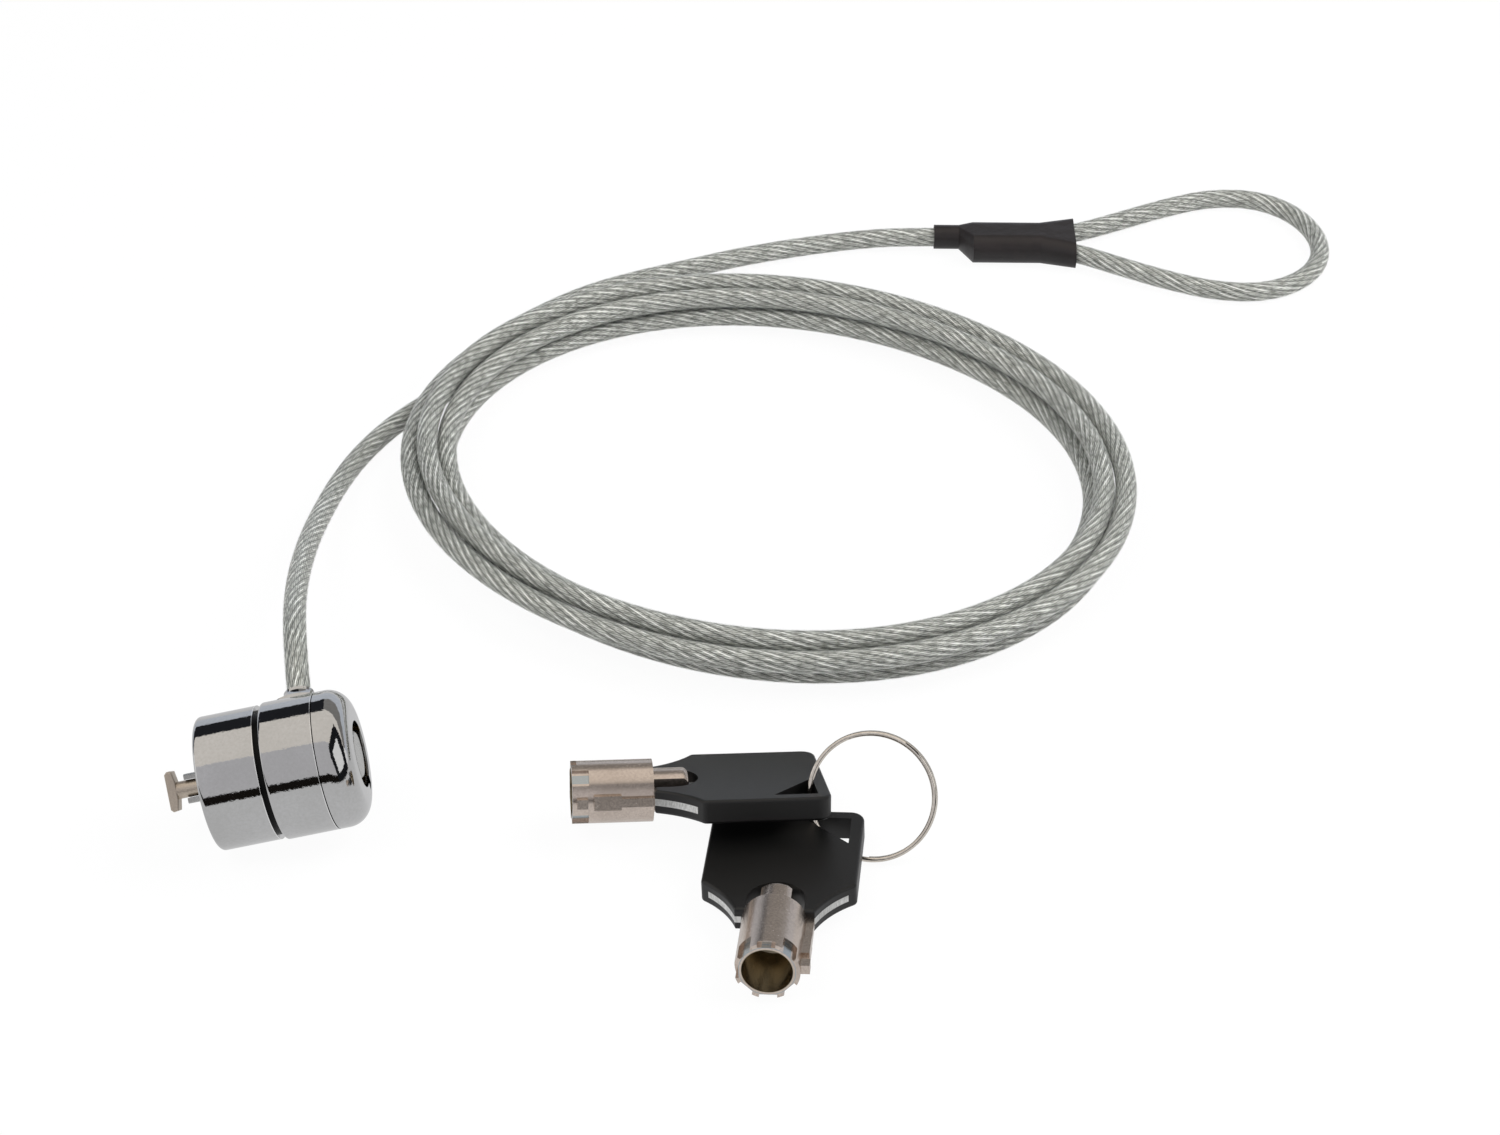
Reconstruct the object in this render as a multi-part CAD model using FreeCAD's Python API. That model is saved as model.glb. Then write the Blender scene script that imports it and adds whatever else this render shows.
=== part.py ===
import FreeCAD, Part
import math
import os

# Laptop cable lock with its coiled cable, loop, two tubular keys and split ring, in millimetres.
# The lock head lies on its nose with the rear cap raised, +Z is up and +X runs from T-bar to key ring.

V = FreeCAD.Vector

# Place of the frame: floor point under the middle of the head and the keys
MIDDLE_X = -30.737
MIDDLE_Y = -83.933

# Lock head: where the middle of the nose face is, and how the axis lies
NOSE_X = -83.43
NOSE_Y = -72.95
AXIS_YAW = 5.3
AXIS_RISE = 10.25
REST_GAP = 0.02

# Lock head: outer pieces, lengths along the axis from the nose face
NOSE_R = 10.5
NOSE_LENGTH = 9.45
NOSE_ROUND = 0.7
FRONT_WALL = 2.0
FRONT_HOLE_R = 2.5
WASHER_THICKNESS = 0.75
WASHER_R = 9.75
COLLAR_R = 10.75
COLLAR_LENGTH = 8.35
COLLAR_ROUND = 0.5
CAP_LENGTH = 5.1
CAP_ROUND = 3.6
CAP_DOME = 0.25
CAP_LIP = 0.8
JOURNAL_R = 7.7
SEAT_R = 7.1
CORE_BORE_R = 6.0
NUB_CHAMBER_R = 6.45
NUB_CHAMBER_LENGTH = 2.45
KEYWAY_R = 5.25
POST_R = 3.7
POST_RECESS = 0.25
POST_BEVEL = 0.3
NUB_NOTCH_WIDTH = 1.8
NUB_NOTCH_R = 6.6
NUB_NOTCH_ROLL = -90.0

# How far cutting bodies run past the faces that they open, and how near counts as touching
CUT_PAST = 1.0
TOUCH = 0.01

# Fits: gaps on one side
FIT = 0.02
RUNNING = 0.08
AXIAL_PLAY = 0.05
CAP_SPLIT = 0.15

# Cable boss on the collar
BOSS_ROLL = 22.0
BOSS_SHARE = 0.58
BOSS_BASE_R = 4.9
BOSS_WAIST_R = 3.0
BOSS_WAIST_OUT = 1.1
BOSS_SINK = 0.6
BOSS_ROOT = 1.0
BOSS_LIP = 0.5
BOSS_MOUTH_R = 2.4
BOSS_TOP = 12.9
STOP_R = 2.3
STOP_THICKNESS = 1.4
STOP_SEAT = 9.6

# T-bar, ears and the locking parts
T_ROLL = 54.5
T_NECK = 5.0
T_THICKNESS = 1.5
T_LENGTH = 6.3
T_FLAT = 5.5
T_WIDTH = 2.7
T_END = 0.8
T_TAPER = 0.1
T_EDGE = 0.2
SPINDLE_R = 1.35
SPINDLE_INTO_PLUG = 1.9
CLIP_THICKNESS = 0.6
CLIP_R = 2.6
CLIP_GROOVE_R = 1.05
CLIP_MOUTH = 1.7
EAR_REACH = 3.6
EAR_OUTER = 2.3
EAR_INNER = 1.43
EAR_ROOT = 0.1
EAR_WIDTH = 2.5
PLATE_THICKNESS = 1.0
SPACER_WALL = 1.25
SPACER_LENGTH = 7.8
HOUSING_LENGTH = 6.4
STOP_DISC_R = 4.4
STOP_DISC_THICKNESS = 1.2
STOP_DISC_OFFSET = 0.4
LUG_WIDTH = 2.2
LUG_REACH = 5.7
TURN_ANGLE = 90.0
WINDOW_MARGIN = 3.0
PIN_COUNT = 7
PIN_PITCH_R = 4.4
PIN_R = 0.5
PIN_HEAD_R = 0.6
PIN_HEAD_LENGTH = 0.78
PIN_GAP = 0.05
PIN_TRAVEL = 1.2
DRIVER_LENGTH = 3.4
SPRING_WALL = 0.13
SPRING_SEAT = 0.5
PLUG_THICKNESS = 3.15
CROSS_PIN_R = 0.5
CROSS_PIN_LENGTH = 6.4

# Keys: the seven cut depths are also the lengths by which the pins stand out
KEY_CUTS = (2.5, 0.9, 2.2, 1.4, 2.6, 0.8, 2.6)
KEY_BARREL_R = 4.9
KEY_BARREL_BORE_R = 3.8
KEY_BARREL_LENGTH = 12.6
KEY_BORE_DEPTH = 9.6
BORE_CONE = 1.5
KEY_CUT_WIDTH = 2.7
KEY_RING_R = 4.2
NECK_R = 3.4
NECK_WIDTH = 4.6
NECK_LENGTH = 5.6
NECK_ROUND = 1.0
NECK_ROOT = 1.0
NUB_START = 0.6
NUB_LENGTH = 1.7
NUB_WIDTH = 1.5
NUB_TOP = 6.2
PAD_START = 3.25
PAD_LENGTH = 4.2
PAD_WIDTH = 2.3
RIDGE_WIDTH = 1.4
PAD_TOP = 6.0
BOW_LENGTH = 26.85
BOW_WIDTH = 23.6
BOW_THICKNESS = 3.8
BOW_STRAIGHT = 19.8
BOW_CORNER = 2.2
BOW_SHOULDER = 6.0
BOW_EDGE = 0.5
SHOULDER_HOLLOW = 0.5
SHOULDER_ROUND = 1.0
BOW_NOTCH_WIDTH = 8.8
BOW_NOTCH_DEPTH = 7.2
HOLE_LEG = 6.8
HOLE_SIDE_LEG = 7.6
HOLE_MARGIN = 2.0
STRIP_THICKNESS = 1.1
STRIP_MARGIN = 1.2
TANG_WIDTH = 3.2
TANG_START = 1.0

# Keys: where the outer corners of the ring's holes lie, and how the keys are turned
KEY_A_HOLE = (10.50, -76.73)
KEY_A_YAW = 5.86
KEY_A_PITCH = 2.46
KEY_A_ROLL = -20.29
KEY_B_HOLE = (15.80, -74.92)
KEY_B_YAW = 84.49
KEY_B_PITCH = 5.38
KEY_B_ROLL = -2.5

# Split ring through both bows
RING_R = 9.81
RING_WIRE_R = 0.4
RING_PITCH = 0.86
RING_FROM = -85.6
RING_TO = 478.9
RING_MIDDLE = (18.81, -74.57)
RING_SLOPE = 58.6
RING_TURN = 14.0

# Cable: plastic-coated steel rope
CABLE_R = 2.0
COIL_TURNS = 4
COIL_MIDDLE = (3.18, 24.25)
COIL_R = 59.7
COIL_OVAL_COS = 1.25
COIL_OVAL_SIN = -3.69
COIL_START = 140.0
STRAND_CIRCLE = 3.8
STRAND_START = 294.0
STRAND_STEP = 72.0
COIL_END_RUN = 4.0
COIL_LEAD_IN = 8.0
ARC_SHARE = 0.45
LEAD_STRAIGHT = 9.0

# Free stretches of the cable, seen from above and with their heights
LEAD_POINTS = (
    (-73.1, -43.2, 20.1), (-74.6, -30.2, 16.6), (-75.6, -16.4, 12.4), (-75.9, -3.0, 8.6),
    (-75.3, 10.2, 5.3), (-73.9, 22.2, 3.2), (-70.9, 33.6, 2.2), (-65.2, 45.0, 2.02),
)
TAIL_POINTS = (
    (-32.0, 83.9, 6.3), (-22.6, 90.6, 5.6), (-13.0, 97.2, 4.3),
    (-2.8, 104.3, 3.0), (8.6, 109.7, 2.2), (21.0, 113.0, 2.2),
)
LOOP_POINTS = (
    (76.0, 120.6, 2.4), (85.3, 126.6, 2.02), (95.3, 131.0, 2.02), (105.0, 130.6, 2.02),
    (112.0, 124.6, 2.02), (115.6, 115.3, 2.02), (115.2, 105.6, 2.02), (110.4, 97.0, 2.02),
    (102.0, 92.0, 2.02), (92.6, 92.6, 2.02), (84.0, 96.5, 2.02), (75.0, 101.2, 2.4),
)

# Sleeve and crimp where the loop closes
SLEEVE_START = (37.3, 110.7)
SLEEVE_YAW = -1.0
SLEEVE_WALL = 0.4
SLEEVE_LENGTH = 28.3
NARROW_LENGTH = 5.4
NARROW_STEP = 2.8
WIDE_HALF = 4.8
WIDE_HEIGHT = 2.6
MOUTH_HALF = 6.95
MOUTH_HEIGHT = 2.35
MOUTH_FLARE = 7.0
FERRULE_START = 8.4
FERRULE_LENGTH = 8.0
FERRULE_WALL = 0.55
LEG_SPACING = 4.3
LEG_SPREAD = 1.4
LEG_STRAIGHT = 3.3
LEG_BEND = 28.0
TAIL_RUN = 6.0

# Places along the head's axis that follow from the sizes above
COLLAR_START = NOSE_LENGTH + WASHER_THICKNESS + AXIAL_PLAY
COLLAR_END = COLLAR_START + COLLAR_LENGTH
CAP_START = COLLAR_END + CAP_SPLIT
FACE = CAP_START + CAP_LENGTH
LIP_START = FACE - CAP_LIP
CHAMBER_START = LIP_START - NUB_CHAMBER_LENGTH
KEY_STOP = FACE - PAD_START
PLATE_END = FRONT_WALL + PLATE_THICKNESS
SPACER_END = PLATE_END + SPACER_LENGTH
HOUSING_END = SPACER_END + HOUSING_LENGTH
PLUG_START = HOUSING_END + AXIAL_PLAY
PLUG_END = PLUG_START + PLUG_THICKNESS
SPINDLE_END = PLUG_START + SPINDLE_INTO_PLUG
CLIP_START = PLATE_END + AXIAL_PLAY
STOP_DISC_START = SPACER_END - STOP_DISC_OFFSET - STOP_DISC_THICKNESS
BOSS_PLACE = COLLAR_START + BOSS_SHARE * COLLAR_LENGTH
KEY_LENGTH = KEY_BARREL_LENGTH + BOW_LENGTH
SHOULDER_END = KEY_LENGTH - BOW_STRAIGHT


def rigid(origin, along, across, up):
    """Placement that carries local X, Y and Z to three given directions."""
    matrix = FreeCAD.Matrix(
        along.x, across.x, up.x, origin.x,
        along.y, across.y, up.y, origin.y,
        along.z, across.z, up.z, origin.z,
        0, 0, 0, 1,
    )
    return FreeCAD.Placement(matrix)


def head_placement():
    """Where the lock head's own frame (X along its axis from the nose face) lies."""
    yaw = math.radians(AXIS_YAW)
    rise = math.radians(AXIS_RISE)
    along = V(math.cos(yaw) * math.cos(rise), math.sin(yaw) * math.cos(rise), math.sin(rise))
    across = V(-math.sin(yaw), math.cos(yaw), 0)
    up = along.cross(across)
    rim = (NOSE_R - NOSE_ROUND) * math.cos(rise) + NOSE_ROUND * (1 - math.sin(rise))
    height = rim + REST_GAP
    return rigid(V(NOSE_X, NOSE_Y, height) - middle(), along, across, up)


def middle():
    """The frame's origin in the coordinates that the places above are given in."""
    return V(MIDDLE_X, MIDDLE_Y, 0)


def roll_direction(angle):
    """Direction at a roll angle about the head's axis, in the head's own frame."""
    return V(0, math.cos(math.radians(angle)), math.sin(math.radians(angle)))


def turned(points):
    """Solid of revolution about X from a closed outline of (x, radius) points."""
    corners = [V(x, 0, r) for x, r in points]
    face = Part.Face(Part.makePolygon(corners + corners[:1]))
    return face.revolve(V(0, 0, 0), V(1, 0, 0), 360)


def rod(radius, start, end):
    """Cylinder on the X axis between two places."""
    return Part.makeCylinder(radius, end - start, V(start, 0, 0), V(1, 0, 0))


def tube(outer, inner, start, end):
    """Hollow cylinder on the X axis between two places."""
    return turned([(start, inner), (start, outer), (end, outer), (end, inner)])


def bar(x0, x1, y0, y1, z0, z1):
    """Box between two corners."""
    return Part.makeBox(x1 - x0, y1 - y0, z1 - z0, V(x0, y0, z0))


def rolled(shape, angle):
    """A copy turned about the X axis."""
    copy = shape.copy()
    copy.rotate(V(0, 0, 0), V(1, 0, 0), angle)
    return copy


def rim_edges(shape, x, radius):
    """Circular edges about the X axis at one place with one radius."""
    found = []
    for edge in shape.Edges:
        curve = edge.Curve
        if not isinstance(curve, Part.Circle):
            continue
        if abs(curve.Center.x - x) < TOUCH and abs(curve.Radius - radius) < TOUCH:
            found.append(edge)
    return found


def pin_angles():
    """Roll angles of the seven pins; the nub has the eighth place."""
    step = 360.0 / (PIN_COUNT + 1)
    return [NUB_NOTCH_ROLL + step * (number + 1) for number in range(PIN_COUNT)]


def on_pin_circle(shape):
    """Copies of a shape at each pin's place."""
    copies = []
    for angle in pin_angles():
        copy = shape.copy()
        copy.translate(roll_direction(angle) * PIN_PITCH_R)
        copies.append(copy)
    return copies


def nose_barrel():
    """Nose with its front wall, the journal of the collar and the seat of the cap."""
    seat_end = CHAMBER_START - AXIAL_PLAY
    body = turned([
        (0, FRONT_HOLE_R), (0, NOSE_R), (NOSE_LENGTH, NOSE_R), (NOSE_LENGTH, JOURNAL_R),
        (CAP_START, JOURNAL_R), (CAP_START, SEAT_R), (seat_end, SEAT_R),
        (seat_end, CORE_BORE_R), (FRONT_WALL, CORE_BORE_R), (FRONT_WALL, FRONT_HOLE_R),
    ])
    return body.makeFillet(NOSE_ROUND, rim_edges(body, 0, NOSE_R))


def front_washer():
    """Plastic washer in the wide groove between nose and collar."""
    return tube(WASHER_R, JOURNAL_R + FIT, NOSE_LENGTH, NOSE_LENGTH + WASHER_THICKNESS)


def boss_frame(shape):
    """Carry a shape turned about X to the boss: its X axis becomes the boss's axis."""
    out = roll_direction(BOSS_ROLL)
    side = out.cross(V(1, 0, 0))
    copy = shape.copy()
    copy.Placement = rigid(V(BOSS_PLACE, 0, 0), out, V(1, 0, 0), side).multiply(copy.Placement)
    return copy


def boss_solid():
    """Bell-shaped boss, wide where it meets the collar and no wider than the collar is long."""
    flank_top = BOSS_TOP - BOSS_LIP
    base = COLLAR_R - BOSS_SINK
    inside = JOURNAL_R + BOSS_ROOT
    waist = V(base + BOSS_WAIST_OUT, 0, BOSS_WAIST_R)
    edges = [
        Part.makeLine(V(inside, 0, 0), V(inside, 0, BOSS_BASE_R)),
        Part.makeLine(V(inside, 0, BOSS_BASE_R), V(base, 0, BOSS_BASE_R)),
        Part.Arc(V(base, 0, BOSS_BASE_R), waist, V(flank_top, 0, BOSS_MOUTH_R)).toShape(),
        Part.makeLine(V(flank_top, 0, BOSS_MOUTH_R), V(BOSS_TOP, 0, BOSS_MOUTH_R)),
        Part.makeLine(V(BOSS_TOP, 0, BOSS_MOUTH_R), V(BOSS_TOP, 0, 0)),
        Part.makeLine(V(BOSS_TOP, 0, 0), V(inside, 0, 0)),
    ]
    face = Part.Face(Part.Wire(edges))
    bell = boss_frame(face.revolve(V(0, 0, 0), V(1, 0, 0), 360))
    return bell.common(rod(BOSS_TOP + CUT_PAST, COLLAR_START + COLLAR_ROUND, COLLAR_END))


def swivel_collar():
    """Collar that turns on the nose's journal and carries the cable."""
    body = rod(COLLAR_R, COLLAR_START, COLLAR_END)
    body = body.makeFillet(COLLAR_ROUND, rim_edges(body, COLLAR_START, COLLAR_R))
    body = body.fuse(boss_solid()).removeSplitter()
    body = body.cut(rod(JOURNAL_R + RUNNING, COLLAR_START - CUT_PAST, COLLAR_END + CUT_PAST))
    cable_bore = boss_frame(rod(CABLE_R + PIN_GAP, 0, BOSS_TOP + CUT_PAST))
    stop_bore = boss_frame(rod(STOP_R + PIN_GAP, 0, STOP_SEAT))
    return body.cut(cable_bore.fuse(stop_bore))


def cable_end_stop():
    """Swaged stop on the cable's end, seated inside the collar."""
    return boss_frame(rod(STOP_R, STOP_SEAT - STOP_THICKNESS, STOP_SEAT))


def rear_cap():
    """Domed cap with the round keyway and the notch for the key's nub."""
    rim = FACE - CAP_DOME
    body = turned([
        (CAP_START, SEAT_R + FIT), (CAP_START, COLLAR_R), (rim, COLLAR_R), (FACE, KEYWAY_R),
        (LIP_START, KEYWAY_R), (LIP_START, NUB_CHAMBER_R), (CHAMBER_START, NUB_CHAMBER_R),
        (CHAMBER_START, SEAT_R + FIT),
    ])
    body = body.makeFillet(CAP_ROUND, rim_edges(body, rim, COLLAR_R))
    half = NUB_NOTCH_WIDTH / 2
    notch = bar(LIP_START - AXIAL_PLAY, FACE + CUT_PAST, POST_R, NUB_NOTCH_R, -half, half)
    return body.cut(rolled(notch, NUB_NOTCH_ROLL))


def guide_ears():
    """Plate behind the front wall with the two ears that keep the head from turning."""
    plate = tube(CORE_BORE_R - FIT, SPINDLE_R + RUNNING, FRONT_WALL, PLATE_END)
    half = EAR_WIDTH / 2
    post = bar(-EAR_REACH, FRONT_WALL + EAR_ROOT, EAR_INNER, EAR_OUTER, -half, half)
    pair = post.fuse(rolled(post, 180))
    ears = rolled(pair, T_ROLL).common(rod(FRONT_HOLE_R - PIN_GAP, -EAR_REACH, FRONT_WALL + EAR_ROOT))
    return plate.fuse(ears).removeSplitter()


def t_head():
    """Cross bar of the T: flat outside, sloped towards the neck, with bevelled ends."""
    outer = -(T_NECK + T_THICKNESS)
    bevel = (T_LENGTH - T_FLAT) / 2
    tip = -(T_NECK + T_THICKNESS - bevel)
    half = [
        (outer, T_FLAT / 2), (tip, T_LENGTH / 2), (tip + T_END, T_LENGTH / 2 - T_TAPER),
        (-T_NECK, SPINDLE_R),
    ]
    outline = half + [(x, -y) for x, y in reversed(half)]
    corners = [V(x, y, -T_WIDTH / 2) for x, y in outline]
    face = Part.Face(Part.makePolygon(corners + corners[:1]))
    head = face.extrude(V(0, 0, T_WIDTH))
    long_edges = [edge for edge in head.Edges if abs(edge.BoundBox.ZLength) < TOUCH]
    return head.makeFillet(T_EDGE, long_edges)


def t_bar():
    """T-bar and spindle in one piece, with the clip's groove and the cross pin's hole."""
    neck = -(T_NECK + T_THICKNESS / 2)
    clip_end = CLIP_START + CLIP_THICKNESS
    spindle = turned([
        (neck, 0), (neck, SPINDLE_R), (CLIP_START, SPINDLE_R), (CLIP_START, CLIP_GROOVE_R),
        (clip_end, CLIP_GROOVE_R), (clip_end, SPINDLE_R), (SPINDLE_END, SPINDLE_R),
        (SPINDLE_END, 0),
    ])
    body = t_head().fuse(spindle)
    return rolled(body, T_ROLL).cut(cross_pin_rod(CROSS_PIN_R + FIT)).removeSplitter()


def cross_pin_rod(radius):
    """Rod across the axis where spindle and plug are pinned."""
    along = roll_direction(T_ROLL + 90)
    place = V(PLUG_START + SPINDLE_INTO_PLUG / 2, 0, 0)
    return Part.makeCylinder(radius, CROSS_PIN_LENGTH, place - along * (CROSS_PIN_LENGTH / 2), along)


def spindle_clip():
    """Retaining clip in the spindle's groove, open on one side."""
    ring = tube(CLIP_R, CLIP_GROOVE_R + FIT, CLIP_START, CLIP_START + CLIP_THICKNESS)
    half = CLIP_MOUTH / 2
    mouth = bar(CLIP_START - CUT_PAST, CLIP_START + CUT_PAST, 0, CLIP_R + CUT_PAST, -half, half)
    return rolled(ring.cut(mouth), T_ROLL)


def stop_disc():
    """Disc on the spindle whose lug ends the turn."""
    end = STOP_DISC_START + STOP_DISC_THICKNESS
    disc = tube(STOP_DISC_R, SPINDLE_R + FIT, STOP_DISC_START, end)
    half = LUG_WIDTH / 2
    lug = bar(STOP_DISC_START, end, (SPINDLE_R + STOP_DISC_R) / 2, LUG_REACH, -half, half)
    return rolled(disc.fuse(lug).removeSplitter(), T_ROLL)


def spacer_tube():
    """Tube between plate and housing with the window that the lug travels in."""
    inner = CORE_BORE_R - FIT - SPACER_WALL
    wall = tube(CORE_BORE_R - FIT, inner, PLATE_END, SPACER_END)
    lug_angle = math.degrees(math.asin(LUG_WIDTH / 2 / inner))
    first = T_ROLL - lug_angle - WINDOW_MARGIN
    sweep = TURN_ANGLE + 2 * (lug_angle + WINDOW_MARGIN)
    start = STOP_DISC_START - STOP_DISC_OFFSET
    wide = CORE_BORE_R + CUT_PAST
    far = SPACER_END + CUT_PAST
    corners = [V(start, STOP_DISC_R, 0), V(start, wide, 0), V(far, wide, 0), V(far, STOP_DISC_R, 0)]
    face = Part.Face(Part.makePolygon(corners + corners[:1]))
    window = face.revolve(V(0, 0, 0), V(1, 0, 0), sweep)
    return wall.cut(rolled(window, first))


def pin_housing():
    """Brass housing with one bore for each driver pin and its spring."""
    body = tube(CORE_BORE_R - FIT, SPINDLE_R + RUNNING, SPACER_END, HOUSING_END)
    for bore in on_pin_circle(rod(PIN_R + PIN_GAP, SPACER_END + SPRING_SEAT, HOUSING_END + CUT_PAST)):
        body = body.cut(bore)
    return body


def driver_pins():
    """Seven driver pins, their ends at the shear line."""
    end = HOUSING_END - AXIAL_PLAY
    return Part.makeCompound(on_pin_circle(rod(PIN_R, end - DRIVER_LENGTH, end)))


def pin_springs():
    """Seven small springs behind the drivers, as sleeves."""
    end = HOUSING_END - AXIAL_PLAY - DRIVER_LENGTH
    spring = tube(PIN_R, PIN_R - SPRING_WALL, SPACER_END + SPRING_SEAT, end)
    return Part.makeCompound(on_pin_circle(spring))


def cylinder_shell():
    """Shell that the plug's disc turns in."""
    return tube(CORE_BORE_R - FIT, KEYWAY_R, HOUSING_END, CHAMBER_START - AXIAL_PLAY)


def lock_plug():
    """Turning disc of the plug, with seven stepped bores."""
    body = rod(KEYWAY_R - RUNNING, PLUG_START, PLUG_END)
    body = body.cut(rod(SPINDLE_R + FIT, PLUG_START - CUT_PAST, SPINDLE_END))
    body = body.cut(cross_pin_rod(CROSS_PIN_R + FIT))
    step = PLUG_START + PIN_GAP + PIN_HEAD_LENGTH + PIN_TRAVEL + PIN_GAP
    stepped = rod(PIN_HEAD_R + PIN_GAP, PLUG_START - CUT_PAST, step).fuse(
        rod(PIN_R + PIN_GAP, PLUG_START - CUT_PAST, PLUG_END + CUT_PAST))
    for bore in on_pin_circle(stepped):
        body = body.cut(bore)
    return body


def plug_post():
    """Post on the middle of the plug, which the bore of a key goes over."""
    end = FACE - POST_RECESS
    return turned([
        (PLUG_END, 0), (PLUG_END, POST_R), (end - POST_BEVEL, POST_R), (end, POST_R - POST_BEVEL),
        (end, 0),
    ])


def key_pins():
    """Seven headed pins, each as long as its cut in the key asks."""
    pins = []
    for angle, cut in zip(pin_angles(), KEY_CUTS):
        start = PLUG_START + PIN_GAP
        head_end = start + PIN_HEAD_LENGTH
        pin = turned([
            (start, 0), (start, PIN_HEAD_R), (head_end, PIN_HEAD_R), (head_end, PIN_R),
            (KEY_STOP + cut, PIN_R), (KEY_STOP + cut, 0),
        ])
        pin.translate(roll_direction(angle) * PIN_PITCH_R)
        pins.append(pin)
    return Part.makeCompound(pins)


def key_barrel():
    """Tubular key: barrel with seven end cuts, nub, pad, ridge and slotted neck."""
    neck_end = KEY_BARREL_LENGTH + NECK_LENGTH
    body = rod(KEY_BARREL_R, 0, KEY_BARREL_LENGTH).fuse(key_neck()).removeSplitter()
    side = [
        bar(NUB_START, NUB_START + NUB_LENGTH, -NUB_TOP, -KEY_RING_R, -NUB_WIDTH / 2, NUB_WIDTH / 2),
        bar(PAD_START, PAD_START + PAD_LENGTH, -PAD_TOP, -KEY_RING_R, -PAD_WIDTH / 2, PAD_WIDTH / 2),
        bar(PAD_START + PAD_LENGTH, KEY_BARREL_LENGTH, -PAD_TOP, -KEY_RING_R,
            -RIDGE_WIDTH / 2, RIDGE_WIDTH / 2),
    ]
    body = body.fuse(side).removeSplitter()
    for cutter in key_cutters():
        body = body.cut(cutter)
    bore = turned([
        (-CUT_PAST, 0), (-CUT_PAST, KEY_BARREL_BORE_R), (KEY_BORE_DEPTH, KEY_BARREL_BORE_R),
        (KEY_BORE_DEPTH + BORE_CONE, 0),
    ])
    half = STRIP_THICKNESS / 2 + FIT
    tang = TANG_WIDTH / 2 + FIT
    slot = bar(KEY_BARREL_LENGTH + TANG_START, neck_end + CUT_PAST, -tang, tang, -half, half)
    return body.cut(bore).cut(slot)


def key_neck():
    """Neck behind the barrel: round above and below, flat on both sides, rounded at its end."""
    end = KEY_BARREL_LENGTH + NECK_LENGTH
    neck = rod(NECK_R, KEY_BARREL_LENGTH - NECK_ROOT, end)
    neck = neck.makeFillet(NECK_ROUND, rim_edges(neck, end, NECK_R))
    half = NECK_WIDTH / 2
    return neck.common(bar(0, end + CUT_PAST, -half, half, -NECK_R, NECK_R))


def key_cutters():
    """Boxes that mill the seven cuts into the outer half of the barrel's wall."""
    cutters = []
    step = 360.0 / (PIN_COUNT + 1)
    half = KEY_CUT_WIDTH / 2
    for number, depth in enumerate(KEY_CUTS):
        cutter = bar(-CUT_PAST, depth, -KEY_BARREL_R - CUT_PAST, -KEY_RING_R, -half, half)
        cutters.append(rolled(cutter, step * (number + 1)))
    return cutters


def bow_outline(inset):
    """Outline of the bow: shoulders as hollow arcs, straight sides, rounded far corners."""
    half = BOW_WIDTH / 2
    start = KEY_BARREL_LENGTH
    hollow_x = (start + SHOULDER_END) / 2 + SHOULDER_HOLLOW
    hollow_y = (BOW_SHOULDER + half) / 2 - SHOULDER_HOLLOW
    far = KEY_LENGTH
    lean = BOW_CORNER * (1 - math.sqrt(0.5))
    edges = [
        Part.Arc(V(start, BOW_SHOULDER, 0), V(hollow_x, hollow_y, 0), V(SHOULDER_END, half, 0)).toShape(),
        Part.makeLine(V(SHOULDER_END, half, 0), V(far - BOW_CORNER, half, 0)),
        Part.Arc(V(far - BOW_CORNER, half, 0), V(far - lean, half - lean, 0),
                 V(far, half - BOW_CORNER, 0)).toShape(),
        Part.makeLine(V(far, half - BOW_CORNER, 0), V(far, BOW_CORNER - half, 0)),
        Part.Arc(V(far, BOW_CORNER - half, 0), V(far - lean, lean - half, 0),
                 V(far - BOW_CORNER, -half, 0)).toShape(),
        Part.makeLine(V(far - BOW_CORNER, -half, 0), V(SHOULDER_END, -half, 0)),
        Part.Arc(V(SHOULDER_END, -half, 0), V(hollow_x, -hollow_y, 0), V(start, -BOW_SHOULDER, 0)).toShape(),
        Part.makeLine(V(start, -BOW_SHOULDER, 0), V(start, BOW_SHOULDER, 0)),
    ]
    face = Part.Face(Part.Wire(edges))
    face.translate(V(0, 0, -inset))
    return face


def hole_corner():
    """Outer corner of the ring's hole, in the key's own frame."""
    return V(KEY_LENGTH - HOLE_MARGIN, HOLE_MARGIN - BOW_WIDTH / 2, 0)


def ring_hole(grow, thickness):
    """Three-cornered hole for the split ring in the bow's outer corner."""
    corner = hole_corner() + V(grow, -grow, 0)
    x, y = corner.x, corner.y
    inradius = (HOLE_LEG + HOLE_SIDE_LEG - math.hypot(HOLE_LEG, HOLE_SIDE_LEG)) / 2
    leg = HOLE_LEG * (1 + grow / inradius)
    side_leg = HOLE_SIDE_LEG * (1 + grow / inradius)
    corners = [V(x, y, -thickness), V(x - leg, y, -thickness), V(x, y + side_leg, -thickness)]
    face = Part.Face(Part.makePolygon(corners + corners[:1]))
    return face.extrude(V(0, 0, 2 * thickness))


def neck_notch(grow, thickness):
    """Round-bottomed notch of the bow that the neck lies in."""
    radius = BOW_NOTCH_WIDTH / 2 + grow
    centre = KEY_BARREL_LENGTH + BOW_NOTCH_DEPTH - BOW_NOTCH_WIDTH / 2
    slot = bar(KEY_BARREL_LENGTH - CUT_PAST, centre, -radius, radius, -thickness, thickness)
    end = Part.makeCylinder(radius, 2 * thickness, V(centre, 0, -thickness), V(0, 0, 1))
    return slot.fuse(end).removeSplitter()


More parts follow.
